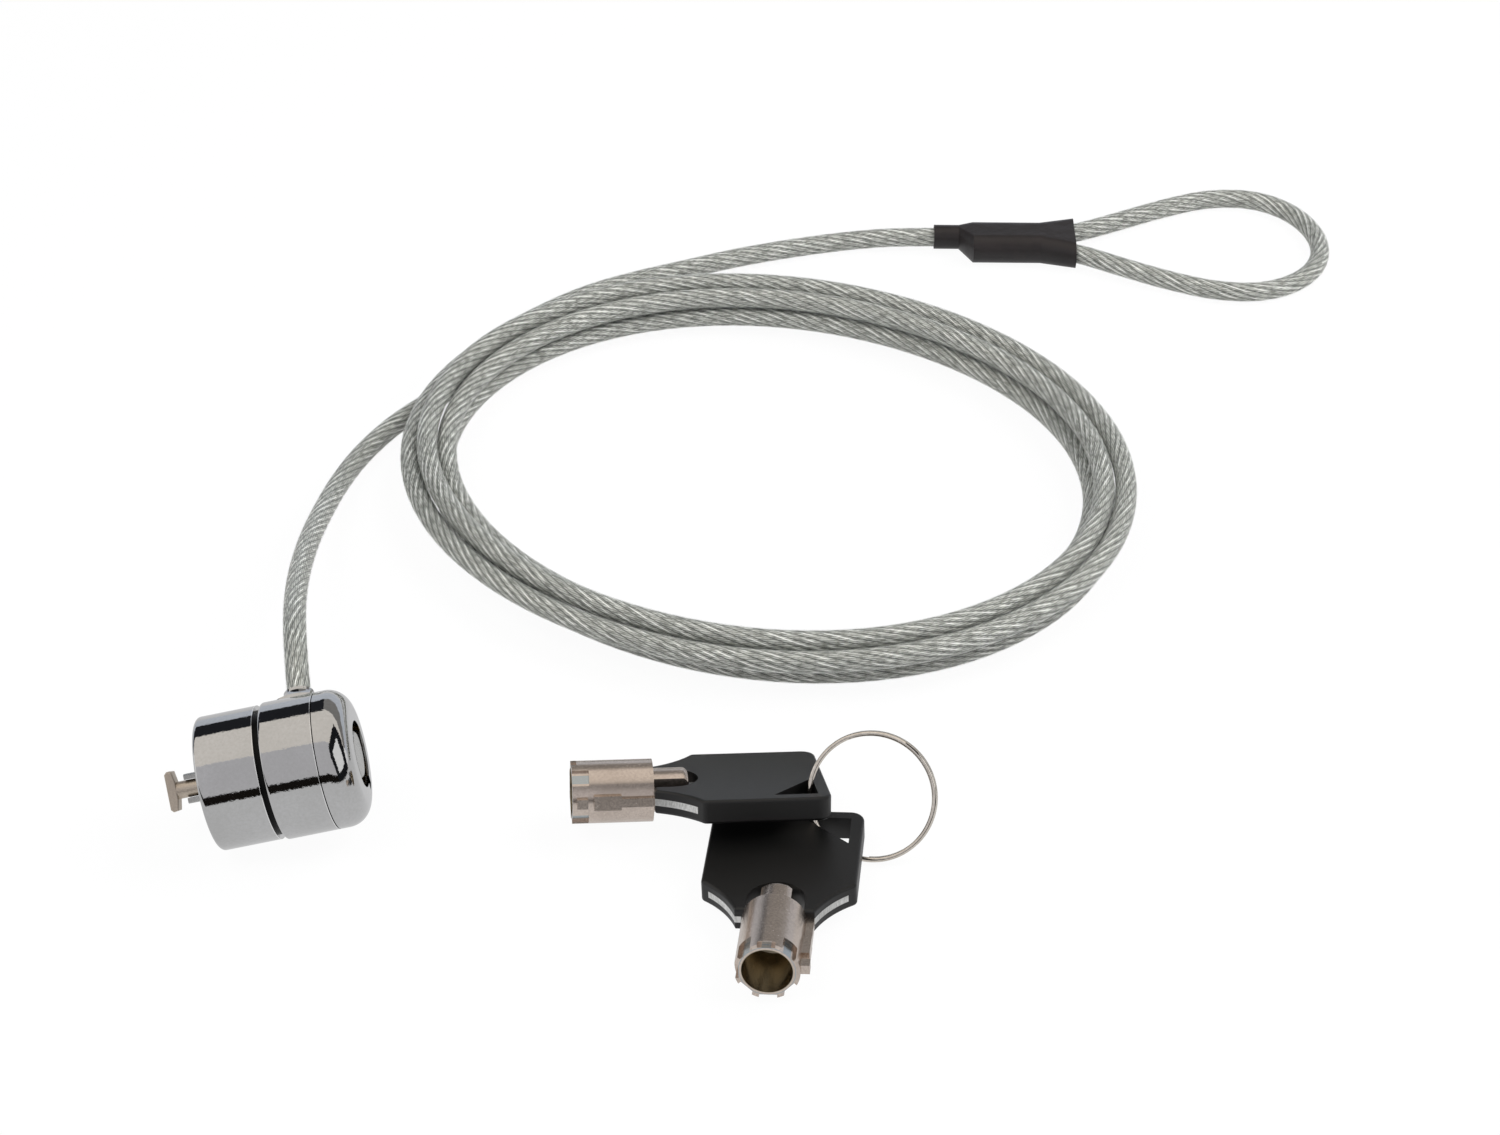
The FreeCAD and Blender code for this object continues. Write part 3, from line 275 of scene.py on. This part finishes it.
@dataclass
class TubularKey:
    """Key with a plated tube, a moulded bow and a steel plate in it; lengths in millimetres."""

    letter: str
    mouth: Point
    axis: Point
    bore_radius: float = 3.8
    cut_radius: float = 4.2
    barrel_radius: float = 4.9
    cut_length: float = 3.0
    bore_depth: float = 11.2
    bore_margin: float = 0.05
    cut_margin: float = 0.06
    pad_margin: float = 0.12
    bare_colour: str = "#B3BABC"
    bore_colour: str = "#BEB39E"
    barrel_grain: float = 0.35

    def tint(self, recipe: Recipe, place: Socket, plated: Socket) -> tuple[Socket, Socket]:
        """Colour the tube by its distance from the axis: brown bore, bare milled cuts, grainy pad.

        Args:
            recipe: the material's tree.
            place: coordinates on the object.
            plated: colour of the plated surface.

        Returns:
            The colour and how strongly the grain stands out.
        """
        near = recipe.add("VectorMath", {"operation": "SUBTRACT"}, i0=place, i1=[v / 1000 for v in self.mouth])
        along = recipe.add("VectorMath", {"operation": "DOT_PRODUCT"}, i0=near.outputs[0], i1=self.axis)
        run = recipe.add("VectorMath", {"operation": "SCALE"}, i0=self.axis, Scale=along.outputs["Value"])
        away = recipe.add("VectorMath", {"operation": "SUBTRACT"}, i0=near.outputs[0], i1=run.outputs[0])
        radius = recipe.add("VectorMath", {"operation": "LENGTH"}, i0=away.outputs[0]).outputs["Value"]
        inner = recipe.add("Math", {"operation": "LESS_THAN"}, i0=radius,
                           i1=(self.bore_radius + self.bore_margin) / 1000)
        deep = recipe.add("Math", {"operation": "LESS_THAN"}, i0=along.outputs["Value"],
                          i1=self.bore_depth / 1000)
        bore = recipe.add("Math", {"operation": "MULTIPLY"}, i0=inner.outputs[0], i1=deep.outputs[0])
        milled = recipe.add("Math", {"operation": "COMPARE"}, i0=radius, i1=self.cut_radius / 1000,
                            i2=self.cut_margin / 1000)
        front = recipe.add("Math", {"operation": "LESS_THAN"}, i0=along.outputs["Value"],
                           i1=self.cut_length / 1000)
        cut = recipe.add("Math", {"operation": "MULTIPLY"}, i0=milled.outputs[0], i1=front.outputs[0])
        pad = recipe.add("Math", {"operation": "GREATER_THAN"}, i0=radius,
                         i1=(self.barrel_radius + self.pad_margin) / 1000)
        bare = recipe.add("MixRGB", Fac=cut.outputs[0], Color1=plated, Color2=linear(self.bare_colour))
        dark = recipe.add("MixRGB", Fac=bore.outputs[0], Color1=bare.outputs[0], Color2=linear(self.bore_colour))
        depth = recipe.add("MapRange", Value=pad.outputs[0], To_Min=self.barrel_grain, To_Max=1.0)
        return dark.outputs[0], depth.outputs["Result"]

    def build(self, steel: bpy.types.Material, plastic: bpy.types.Material) -> None:
        """Dress barrel, plate and bow.

        Args:
            steel: material of the plate.
            plastic: material of the bow.
        """
        for part, material in (("barrel", NICKEL.build(self.tint)), ("plate", steel), ("bow", plastic)):
            dress("key_%s_%s" % (self.letter, part), material)
            LOG.info("key %s: %s in %s", self.letter, part, material.name)


@dataclass
class KeySet:
    """Both keys, with their mouths and axes, on the split ring."""

    keys: tuple[TubularKey, ...] = (
        TubularKey("a", (2.93, 12.51, 7.35), (0.9939, 0.1020, -0.0429)),
        TubularKey("b", (33.21, -27.20, 6.08), (0.0956, 0.9910, -0.0938)),
    )
    ring: str = "key_ring"

    def build(self) -> None:
        """Dress the keys and the ring."""
        steel, plastic = STAMPED.build(), MOULDED.build()
        for key in self.keys:
            key.build(steel, plastic)
        dress(self.ring, WIRE.build())
        LOG.info("%s: %s", self.ring, WIRE.name)


@dataclass
class LoopEnd:
    """Shrunk sleeve and crimp that close the cable's loop."""

    sleeve: str = "shrink_sleeve"
    ferrule: str = "loop_ferrule"

    def build(self) -> None:
        """Dress the sleeve and the crimp inside it."""
        for name, finish in ((self.sleeve, SHRINK), (self.ferrule, CRIMP)):
            dress(name, finish.build())
            LOG.info("%s: %s", name, finish.name)


@dataclass(frozen=True)
class RopeSteel:
    """Galvanised steel rope in its coat: strands 1.06 mm apart, 0.35 mm wires, a painted highlight on each crest,
    painted shade in the grooves.
    """

    name: str = "galvanised_rope_wire"
    wire: str = "#CFCFC8"
    dull: str = "#84847C"
    # The groove and valley colours are painted shade in the creases. The glint colour is a painted highlight.
    groove_shade: str = "#8C8C84"
    valley_shade: str = "#5A5B54"
    painted_glint: str = "#FFFFFA"
    strands: int = 11
    wires: int = 33
    lay_length: float = 0.037
    glint_place: float = 0.56
    glint_half_width: float = 0.11
    glints_per_metre: float = 260.0
    glint_shift: float = 7.3
    patches_per_metre: float = 450.0
    wire_relief: float = 0.00012

    def build(self) -> bpy.types.Material:
        """Make the material.

        Returns:
            A metal material; U counts strands round the rope and V runs along it in metres.
        """
        recipe = Recipe(bpy.data.materials.new(self.name))
        parts = recipe.add("SeparateXYZ", Vector=recipe.add("TexCoord").outputs["UV"])
        across, along = parts.outputs[0], parts.outputs[1]
        twist = recipe.add("Math", {"operation": "MULTIPLY"}, i0=along, i1=self.wires / self.lay_length)
        many = recipe.add("Math", {"operation": "MULTIPLY_ADD"}, i0=across, i1=self.wires / self.strands,
                          i2=twist.outputs[0])
        ridge = recipe.add("Math", {"operation": "PINGPONG"}, i0=many.outputs[0], i1=0.5)
        strand = recipe.add("Math", {"operation": "PINGPONG"}, i0=across, i1=0.5)
        number = recipe.add("Math", {"operation": "FLOOR"}, i0=many.outputs[0])
        metre = recipe.add("Math", {"operation": "MULTIPLY"}, i0=along, i1=self.patches_per_metre)
        patch = recipe.add("CombineXYZ", X=number.outputs[0], Y=metre.outputs[0])
        cloud = recipe.add("TexNoise", Vector=patch.outputs[0], Scale=1.0, Detail=2.0)
        wires = recipe.add("ValToRGB", stops=((0.38, self.dull), (0.62, self.wire)), Fac=cloud.outputs["Fac"])
        # Painted shade: darker in the grooves between wires and in the valleys between strands.
        groove_shade = recipe.add("ValToRGB", stops=((0.03, self.groove_shade), (0.24, "#FFFFFF")), Fac=ridge.outputs[0])
        gap = recipe.add("ValToRGB", stops=((0.02, self.valley_shade), (0.13, "#FFFFFF")), Fac=strand.outputs[0])
        first = recipe.add("MixRGB", {"blend_type": "MULTIPLY"}, Fac=1.0, Color1=wires.outputs[0],
                           Color2=groove_shade.outputs[0])
        second = recipe.add("MixRGB", {"blend_type": "MULTIPLY"}, Fac=1.0, Color1=first.outputs[0],
                            Color2=gap.outputs[0])
        # Painted highlight: a bright dashed line along each strand's crest, mixed into the colour.
        inside = recipe.add("Math", {"operation": "FRACT"}, i0=across)
        aside = recipe.add("Math", {"operation": "SUBTRACT"}, i0=inside.outputs[0], i1=self.glint_place)
        apart = recipe.add("Math", {"operation": "ABSOLUTE"}, i0=aside.outputs[0])
        narrow = recipe.add("MapRange", Value=apart.outputs[0], From_Min=self.glint_half_width,
                            From_Max=self.glint_half_width * 0.4)
        dash_metre = recipe.add("Math", {"operation": "MULTIPLY"}, i0=along, i1=self.glints_per_metre)
        crest = recipe.add("Math", {"operation": "FLOOR"}, i0=across)
        spread = recipe.add("Math", {"operation": "MULTIPLY"}, i0=crest.outputs[0], i1=self.glint_shift)
        dash_place = recipe.add("CombineXYZ", X=spread.outputs[0], Y=dash_metre.outputs[0])
        dash = recipe.add("TexNoise", Vector=dash_place.outputs[0], Scale=1.0, Detail=1.0)
        long = recipe.add("MapRange", Value=dash.outputs["Fac"], From_Min=0.47, From_Max=0.58)
        painted_glint_mask = recipe.add("Math", {"operation": "MULTIPLY"}, i0=narrow.outputs[0], i1=long.outputs[0])
        tone = recipe.add("MixRGB", Fac=painted_glint_mask.outputs[0], Color1=second.outputs[0], Color2=linear(self.painted_glint))
        bump = recipe.add("Bump", Height=ridge.outputs[0], Strength=0.7, Distance=self.wire_relief)
        skin = recipe.add("BsdfPrincipled", Base_Color=tone.outputs[0], Metallic=0.4, Roughness=0.32,
                          Normal=bump.outputs[0])
        recipe.add("OutputMaterial", Surface=skin.outputs[0])
        return recipe.owner


@dataclass(frozen=True)
class ClearCoat:
    """Clear soft PVC: glossy and hardly tinted, its haze in clouds 4.5 mm wide."""

    name: str = "clear_soft_pvc"
    tint: str = "#DDE3DF"
    haze: float = 0.12
    clouds_per_metre: float = 220.0

    def build(self) -> bpy.types.Material:
        """Make the material.

        Returns:
            A glossy film that lets most of the light straight through.
        """
        recipe = Recipe(bpy.data.materials.new(self.name))
        place = recipe.add("TexCoord").outputs["Object"]
        cloud = recipe.add("TexNoise", Vector=place, Scale=self.clouds_per_metre, Detail=2.0)
        rough = recipe.add("MapRange", Value=cloud.outputs["Fac"], To_Min=0.05, To_Max=0.12)
        skin = recipe.add("BsdfPrincipled", Base_Color=linear(self.tint), Roughness=rough.outputs["Result"],
                          IOR=1.53, Alpha=self.haze)
        recipe.add("OutputMaterial", Surface=skin.outputs[0])
        return recipe.owner


def metres(points: list[Point]) -> list[Vector]:
    """Turn millimetres into metres.

    Args:
        points: places in millimetres.

    Returns:
        The same places in metres.
    """
    return [Vector(point) / 1000 for point in points]


def way_along(line: np.ndarray) -> np.ndarray:
    """Measure the way along a line.

    Args:
        line: the line's points.

    Returns:
        For each point, how far it lies from the first along the line.
    """
    return np.concatenate([[0.0], np.cumsum(np.linalg.norm(np.diff(line, axis=0), axis=1))])


def carried_frame(line: np.ndarray) -> tuple[np.ndarray, np.ndarray]:
    """Carry a pair of directions along a line without twist.

    Args:
        line: the line's points.

    Returns:
        For each point, two directions square to the line and to each other.
    """
    ways = np.gradient(line, axis=0)
    ways /= np.linalg.norm(ways, axis=1)[:, None]
    side = np.cross(ways[0], (0.0, 0.0, 1.0))
    side /= np.linalg.norm(side)
    sides = []
    for way in ways:
        side = side - way * np.dot(side, way)
        side = side / np.linalg.norm(side)
        sides.append(side)
    sides = np.array(sides)
    return sides, np.cross(ways, sides)


@dataclass
class CoilForm:
    """Four turns that wind round one another; angles in degrees, lengths in millimetres."""

    middle: tuple[float, float] = (33.917, 108.183)
    radius: float = 59.7
    oval_cos: float = 1.25
    oval_sin: float = -3.69
    start: float = 140.0
    strand_circle: float = 3.42
    strand_start: float = 294.0
    strand_step: float = 72.0
    rest: float = 2.02
    turns: int = 4
    per_turn: int = 24
    pull: float = 0.9914

    def point(self, turn: float) -> Point:
        """Middle of the cable at a place in the coil.

        Args:
            turn: the place, counted in turns from the lead's side.

        Returns:
            The control point in millimetres.
        """
        angle = math.radians(self.start) - 2 * math.pi * turn
        strand = math.radians(self.strand_start - self.strand_step * turn)
        radius = self.radius + self.oval_cos * math.cos(2 * angle) + self.oval_sin * math.sin(2 * angle)
        radius = (radius + self.strand_circle * math.cos(strand)) / self.pull
        height = self.rest + self.strand_circle * (1 + math.sin(strand))
        return (self.middle[0] + radius * math.cos(angle), self.middle[1] + radius * math.sin(angle), height)

    def points(self) -> list[Point]:
        """All control points of the coil."""
        return [self.point(number / self.per_turn) for number in range(self.turns * self.per_turn + 1)]


@dataclass
class Stretch:
    """One piece of cable: its route, its clear coat and the rope inside; lengths in metres."""

    name: str
    route: list[Vector]
    nodes: tuple[str, ...]
    length: float
    lay: str
    with_nodes: tuple[str, ...] = ()
    coat_radius: float = 0.002
    rope_radius: float = 0.00186
    strands: int = 11
    columns: int = 4
    relief: float = 0.00012
    crest_shape: float = 0.6
    lay_length: float = 0.037
    station: float = 0.0011
    shortest: float = 1e-7

    def spline(self, bevel: float) -> bpy.types.Object:
        """Curve through the route's control points.

        Args:
            bevel: the tube's radius, 0 for the bare line.

        Returns:
            The curve object.
        """
        data = bpy.data.curves.new(self.name, "CURVE")
        data.dimensions = "3D"
        data.resolution_u = 10
        data.bevel_depth = bevel
        data.bevel_resolution = 5
        data.use_fill_caps = True
        line = data.splines.new("NURBS")
        line.points.add(len(self.route) - 1)
        for point, place in zip(line.points, self.route):
            point.co = (place.x, place.y, place.z, 1.0)
        line.order_u = 3
        line.use_endpoint_u = True
        line.use_smooth = True
        piece = bpy.data.objects.new(self.name, data)
        bpy.context.collection.objects.link(piece)
        return piece

    def centre_line(self) -> np.ndarray:
        """Follow the middle of the cable.

        Returns:
            Points of the spline at even stations.
        """
        bare = self.spline(0.0)
        bare.data.use_fill_caps = False
        depsgraph = bpy.context.evaluated_depsgraph_get()
        mesh = bpy.data.meshes.new_from_object(bare.evaluated_get(depsgraph))
        raw = np.array([vertex.co[:] for vertex in mesh.vertices])
        bpy.data.meshes.remove(mesh)
        bpy.data.objects.remove(bare)
        steps = np.linalg.norm(np.diff(raw, axis=0), axis=1)
        raw = raw[np.concatenate([[True], steps > self.shortest])]
        run = way_along(raw)
        count = max(8, int(run[-1] / self.station))
        even = np.linspace(0.0, run[-1], count + 1)
        return np.stack([np.interp(even, run, raw[:, axis]) for axis in range(3)], axis=1)

    def rope_points(self, line: np.ndarray, run: np.ndarray) -> np.ndarray:
        """Place the rope's vertices, ring by ring, turning with the strands.

        Args:
            line: points of the cable's middle.
            run: the way along the line to each of them.

        Returns:
            All vertices in one list.
        """
        sides, ups = carried_frame(line)
        column = np.arange(self.strands * self.columns)
        across = (column % self.columns) / self.columns
        bulge = np.abs(np.sin(math.pi * across)) ** self.crest_shape
        radius = self.rope_radius - self.relief * (1.0 - bulge)
        angle = (2 * math.pi * column / len(column))[None, :] + (2 * math.pi * run / self.lay_length)[:, None]
        ring = (np.cos(angle)[:, :, None] * sides[:, None, :] + np.sin(angle)[:, :, None] * ups[:, None, :])
        return (line[:, None, :] + ring * radius[None, :, None]).reshape(-1, 3)

    def rope(self) -> bpy.types.Object:
        """Model the twisted rope, its columns of faces winding with the strands.

        Returns:
            The mesh object, with strands counted in U and metres in V.
        """
        line = self.centre_line()
        run = way_along(line)
        around = self.strands * self.columns
        faces, spread = [], []
        for row in range(len(line) - 1):
            base = row * around
            low, high = run[row], run[row + 1]
            for number in range(around):
                onward = (number + 1) % around
                left, right = number / self.columns, (number + 1) / self.columns
                faces.append((base + number, base + onward, base + around + onward, base + around + number))
                spread.extend(((left, low), (right, low), (right, high), (left, high)))
        last = (len(line) - 1) * around
        faces.append(tuple(range(around))[::-1])
        faces.append(tuple(range(last, last + around)))
        spread.extend([(0.0, 0.0)] * (2 * around))
        mesh = bpy.data.meshes.new(self.name + "_rope")
        mesh.from_pydata(self.rope_points(line, run).tolist(), [], faces)
        layer = mesh.uv_layers.new(name="route")
        layer.data.foreach_set("uv", np.array(spread).ravel())
        mesh.polygons.foreach_set("use_smooth", [True] * len(mesh.polygons))
        mesh.update()
        piece = bpy.data.objects.new(self.name + "_rope", mesh)
        bpy.context.collection.objects.link(piece)
        return piece

    def build(self, coat: bpy.types.Material, steel: bpy.types.Material) -> None:
        """Args:
            coat: material of the clear coat.
            steel: material of the rope.
        """
        tube = self.spline(self.coat_radius)
        tube.data.materials.append(coat)
        rope = self.rope()
        rope.data.materials.append(steel)
        for piece in (tube, rope):
            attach(piece, "cable")
        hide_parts(*self.nodes)
        LOG.info("%s: %d control points", self.name, len(self.route))


def sheet(name: str, size: float, place: Point, turn: Point = (0.0, 0.0, 0.0)) -> bpy.types.Object:
    """Add a square sheet of the studio.

    Args:
        name: its name.
        size: its side in metres.
        place: its middle.
        turn: its rotation in radians.

    Returns:
        The sheet.
    """
    bpy.ops.object.select_all(action="DESELECT")
    bpy.ops.mesh.primitive_plane_add(size=size, location=place, rotation=turn)
    piece = bpy.context.active_object
    piece.name = name
    return piece


@dataclass(frozen=True)
class Card:
    """Long strip that only shiny surfaces see; angles in degrees from the front horizon over the top."""

    name: str
    low: float
    high: float
    colour: str
    left: float = -4.0
    right: float = 4.0
    distance: float = 1.5

    def build(self) -> None:
        """Make the strip, edge to edge with its neighbours."""
        half = math.radians(self.high - self.low) / 2
        middle = math.radians(self.high + self.low) / 2
        reach = self.distance * math.cos(half)
        place = ((self.left + self.right) / 2, -reach * math.cos(middle), reach * math.sin(middle))
        strip = sheet(self.name, 1.0, place, (math.pi / 2 - middle, 0.0, 0.0))
        strip.scale = (self.right - self.left, 2 * self.distance * math.sin(half), 1.0)
        show_to_gloss(strip, self.colour)


def show_to_gloss(piece: bpy.types.Object, colour: str) -> None:
    """Let a piece of the studio glow in a colour, for reflections alone.

    Args:
        piece: the card.
        colour: what reflections of it show.
    """
    recipe = Recipe(bpy.data.materials.new(piece.name))
    glow = recipe.add("Emission", Color=linear(colour), Strength=1.0)
    recipe.add("OutputMaterial", Surface=glow.outputs[0])
    piece.data.materials.append(recipe.owner)
    piece.visible_camera = False
    piece.visible_diffuse = False
    piece.visible_transmission = False
    piece.visible_shadow = False


@dataclass(frozen=True)
class SideCard:
    """Square card beside the object that faces it, for the rounded end of the lock head; lengths in metres."""

    name: str
    place: Point
    size: float
    colour: str

    def build(self) -> None:
        """Make the card, turned to the object."""
        aim = Vector(self.place).to_track_quat("Z", "Y").to_euler()
        show_to_gloss(sheet(self.name, self.size, self.place, tuple(aim)), self.colour)


@dataclass(frozen=True)
class Lamp:
    """Soft square lamp that isn't mirrored in the object; lengths in metres, power in watts."""

    name: str
    place: Point
    size: float
    power: float
    aim: Point = (0.03, 0.07, 0.0)

    def build(self) -> None:
        """Make the lamp, turned to the object's middle."""
        data = bpy.data.lights.new(self.name, "AREA")
        data.size = self.size
        data.energy = self.power
        piece = bpy.data.objects.new(self.name, data)
        piece.location = self.place
        piece.rotation_euler = (Vector(self.aim) - Vector(self.place)).to_track_quat("-Z", "Y").to_euler()
        piece.visible_glossy = False
        bpy.context.collection.objects.link(piece)


@dataclass
class Studio:
    """White floor, soft lamps, cards and the camera; lengths in metres, elevation in degrees."""

    camera_place: Point = (0.030737, -0.376767, 0.3226)
    elevation: float = 35.0
    lens: float = 77.16
    sensor: float = 36.0
    world_light: float = 0.33
    shadow_share: float = 0.05
    floor_size: float = 3.0
    floor_middle: tuple[float, float] = (0.0, 0.1)
    card_height: float = 0.00001
    paper_colour: str = "#F4F4F4"
    mirrored_paper: str = "#D8D8D9"
    sky_colour: str = "#EDEFF2"
    lamps: tuple[Lamp, ...] = (
        Lamp("key_lamp", (-0.35, -0.25, 0.75), 0.5, 4.0),
        Lamp("fill_lamp", (0.55, 0.10, 0.60), 0.6, 6.0),
        Lamp("back_lamp", (0.0, 0.70, 0.60), 0.6, 0.6),
    )
    cards: tuple[Card, ...] = (
        Card("low_front_card", -2.0, 14.0, "#1A1715"),
        Card("front_card", 14.0, 68.0, "#CECDD0"),
        Card("top_card", 68.0, 128.0, "#F0EAE3"),
        Card("dark_back_card", 128.0, 158.0, "#26272B", right=-0.25),
        Card("dim_back_card", 128.0, 158.0, "#8A8886", left=-0.25),
        Card("low_back_card", 158.0, 182.0, "#CED3DC"),
    )
    side_cards: tuple[SideCard, ...] = (
        SideCard("dark_side_card", (0.80, -0.36, 0.62), 1.5, "#1E1F22"),
        SideCard("bright_side_card", (0.74, -0.36, 0.55), 0.70, "#FFFFFF"),
    )

    def white_share(self, recipe: Recipe) -> Socket:
        """Tell the rays that see a white studio from the others.

        Args:
            recipe: the tree that gets the nodes.

        Returns:
            A factor that is 1 for them.
        """
        rays = recipe.add("LightPath")
        share = rays.outputs[Ways.CAMERA.value]
        for way in (Ways.GLOSSY, Ways.THROUGH):
            share = recipe.add("Math", {"operation": "MAXIMUM"}, i0=share, i1=rays.outputs[way.value]).outputs[0]
        return share

    def white_world(self) -> None:
        """Light grey surroundings that show as white to the camera and in glossy surfaces."""
        world = bpy.data.worlds.new("studio")
        bpy.context.scene.world = world
        recipe = Recipe(world)
        light = recipe.add("Background", Color=linear(self.sky_colour), Strength=self.world_light)
        seen = recipe.add("Background", Color=(1.0, 1.0, 1.0, 1.0), Strength=1.0)
        mix = recipe.add("MixShader", Fac=self.white_share(recipe), i1=light.outputs[0], i2=seen.outputs[0])
        recipe.add("OutputWorld", Surface=mix.outputs[0])

    def floor(self) -> None:
        """White sweep that keeps a faint shadow of the object."""
        paper = sheet("studio_floor", self.floor_size, (*self.floor_middle, 0.0))
        recipe = Recipe(bpy.data.materials.new("white_paper"))
        matte = recipe.add("BsdfPrincipled", Base_Color=linear(self.paper_colour), Roughness=0.9)
        glow = recipe.add("Emission", Color=(1.0, 1.0, 1.0, 1.0), Strength=1.0)
        seen = recipe.add("MixShader", Fac=self.white_share(recipe), i1=matte.outputs[0], i2=glow.outputs[0])
        share = recipe.add("MixShader", Fac=self.shadow_share, i1=seen.outputs[0], i2=matte.outputs[0])
        recipe.add("OutputMaterial", Surface=share.outputs[0])
        paper.data.materials.append(recipe.owner)

    def floor_card(self) -> None:
        """Lay a grey sheet on the floor, for reflections alone: the paper as dim as shiny surfaces show it."""
        card = sheet("floor_card", self.floor_size, (*self.floor_middle, self.card_height))
        show_to_gloss(card, self.mirrored_paper)

    def camera(self) -> None:
        """Set the camera at the photograph's angle."""
        data = bpy.data.cameras.new("camera")
        data.lens = self.lens
        data.sensor_width = self.sensor
        data.clip_start = 0.01
        piece = bpy.data.objects.new("camera", data)
        piece.location = self.camera_place
        piece.rotation_euler = (math.radians(90 - self.elevation), 0.0, 0.0)
        bpy.context.collection.objects.link(piece)
        bpy.context.scene.camera = piece

    def build(self) -> None:
        """Set everything up."""
        bpy.context.scene.view_settings.view_transform = "Standard"
        self.white_world()
        self.floor()
        self.floor_card()
        for card in self.cards + self.side_cards:
            card.build()
        self.camera()
        for lamp in self.lamps:
            lamp.build()
        LOG.info("studio: %d cards, %d lamps", len(self.cards + self.side_cards), len(self.lamps))


# Control points of the cable's middle in millimetres: head to coil, coil to sleeve, and round the loop.
LEAD_ROUTE: list[Point] = [
    (-39.36, 21.16, 16.46), (-40.73, 29.41, 19.78), (-42.36, 40.73, 20.1), (-43.86, 53.73, 16.6),
    (-44.86, 67.53, 12.4), (-45.16, 80.93, 8.6), (-44.56, 94.13, 5.3), (-43.16, 106.13, 3.2),
    (-40.16, 117.53, 2.2), (-34.46, 128.93, 2.02), (-23.93, 141.06, 2.41), (-18.61, 147.04, 2.37),
]
TAIL_ROUTE: list[Point] = [
    (-15.04, 154.49, 6.17), (-9.80, 160.53, 6.08), (-1.26, 167.84, 6.3), (8.14, 174.54, 5.6),
    (17.74, 181.14, 4.3), (27.94, 188.23, 3.0), (39.34, 193.63, 2.2), (51.74, 196.93, 2.2),
    (62.07, 196.89, 3.02), (80.47, 196.57, 3.02),
]
LOOP_ROUTE: list[Point] = [
    (80.47, 196.57, 3.02), (87.77, 196.44, 3.02), (96.09, 197.70, 3.02), (106.74, 204.54, 2.4),
    (116.04, 210.54, 2.02), (126.04, 214.93, 2.02), (135.74, 214.54, 2.02), (142.74, 208.54, 2.02),
    (146.34, 199.23, 2.02), (145.94, 189.53, 2.02), (141.14, 180.93, 2.02), (132.74, 175.93, 2.02),
    (123.34, 176.54, 2.02), (114.74, 180.43, 2.02), (105.74, 185.14, 2.4), (95.97, 190.60, 3.02),
    (87.70, 192.14, 3.02), (76.40, 192.34, 3.02),
]


@dataclass
class Cable:
    """The cable from head to sleeve and its loop, with their lengths in metres."""

    run_length: float = 1.739
    loop_length: float = 0.1668

    def build(self) -> None:
        """Model both stretches, in the same coat and rope."""
        coat = ClearCoat().build()
        steel = RopeSteel().build()
        run = metres(LEAD_ROUTE[:-1] + CoilForm().points() + TAIL_ROUTE[1:])
        Stretch("main_cable", run, ("cable_lead", "cable_coil", "cable_tail"), self.run_length,
                "coiled").build(coat, steel)
        Stretch("loop_cable", metres(LOOP_ROUTE), ("cable_loop",), self.loop_length, "loose",
                with_nodes=("shrink_sleeve", "loop_ferrule")).build(coat, steel)


def main() -> None:
    """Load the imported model, dress it, add the cable and light the scene."""
    logging.basicConfig(level=logging.INFO, format="%(name)s %(message)s")
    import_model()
    bpy.ops.object.select_all(action="DESELECT")
    Cable().build()
    LockHead().build()
    LoopEnd().build()
    KeySet().build()
    Studio().build()


if __name__ == "__main__":
    main()
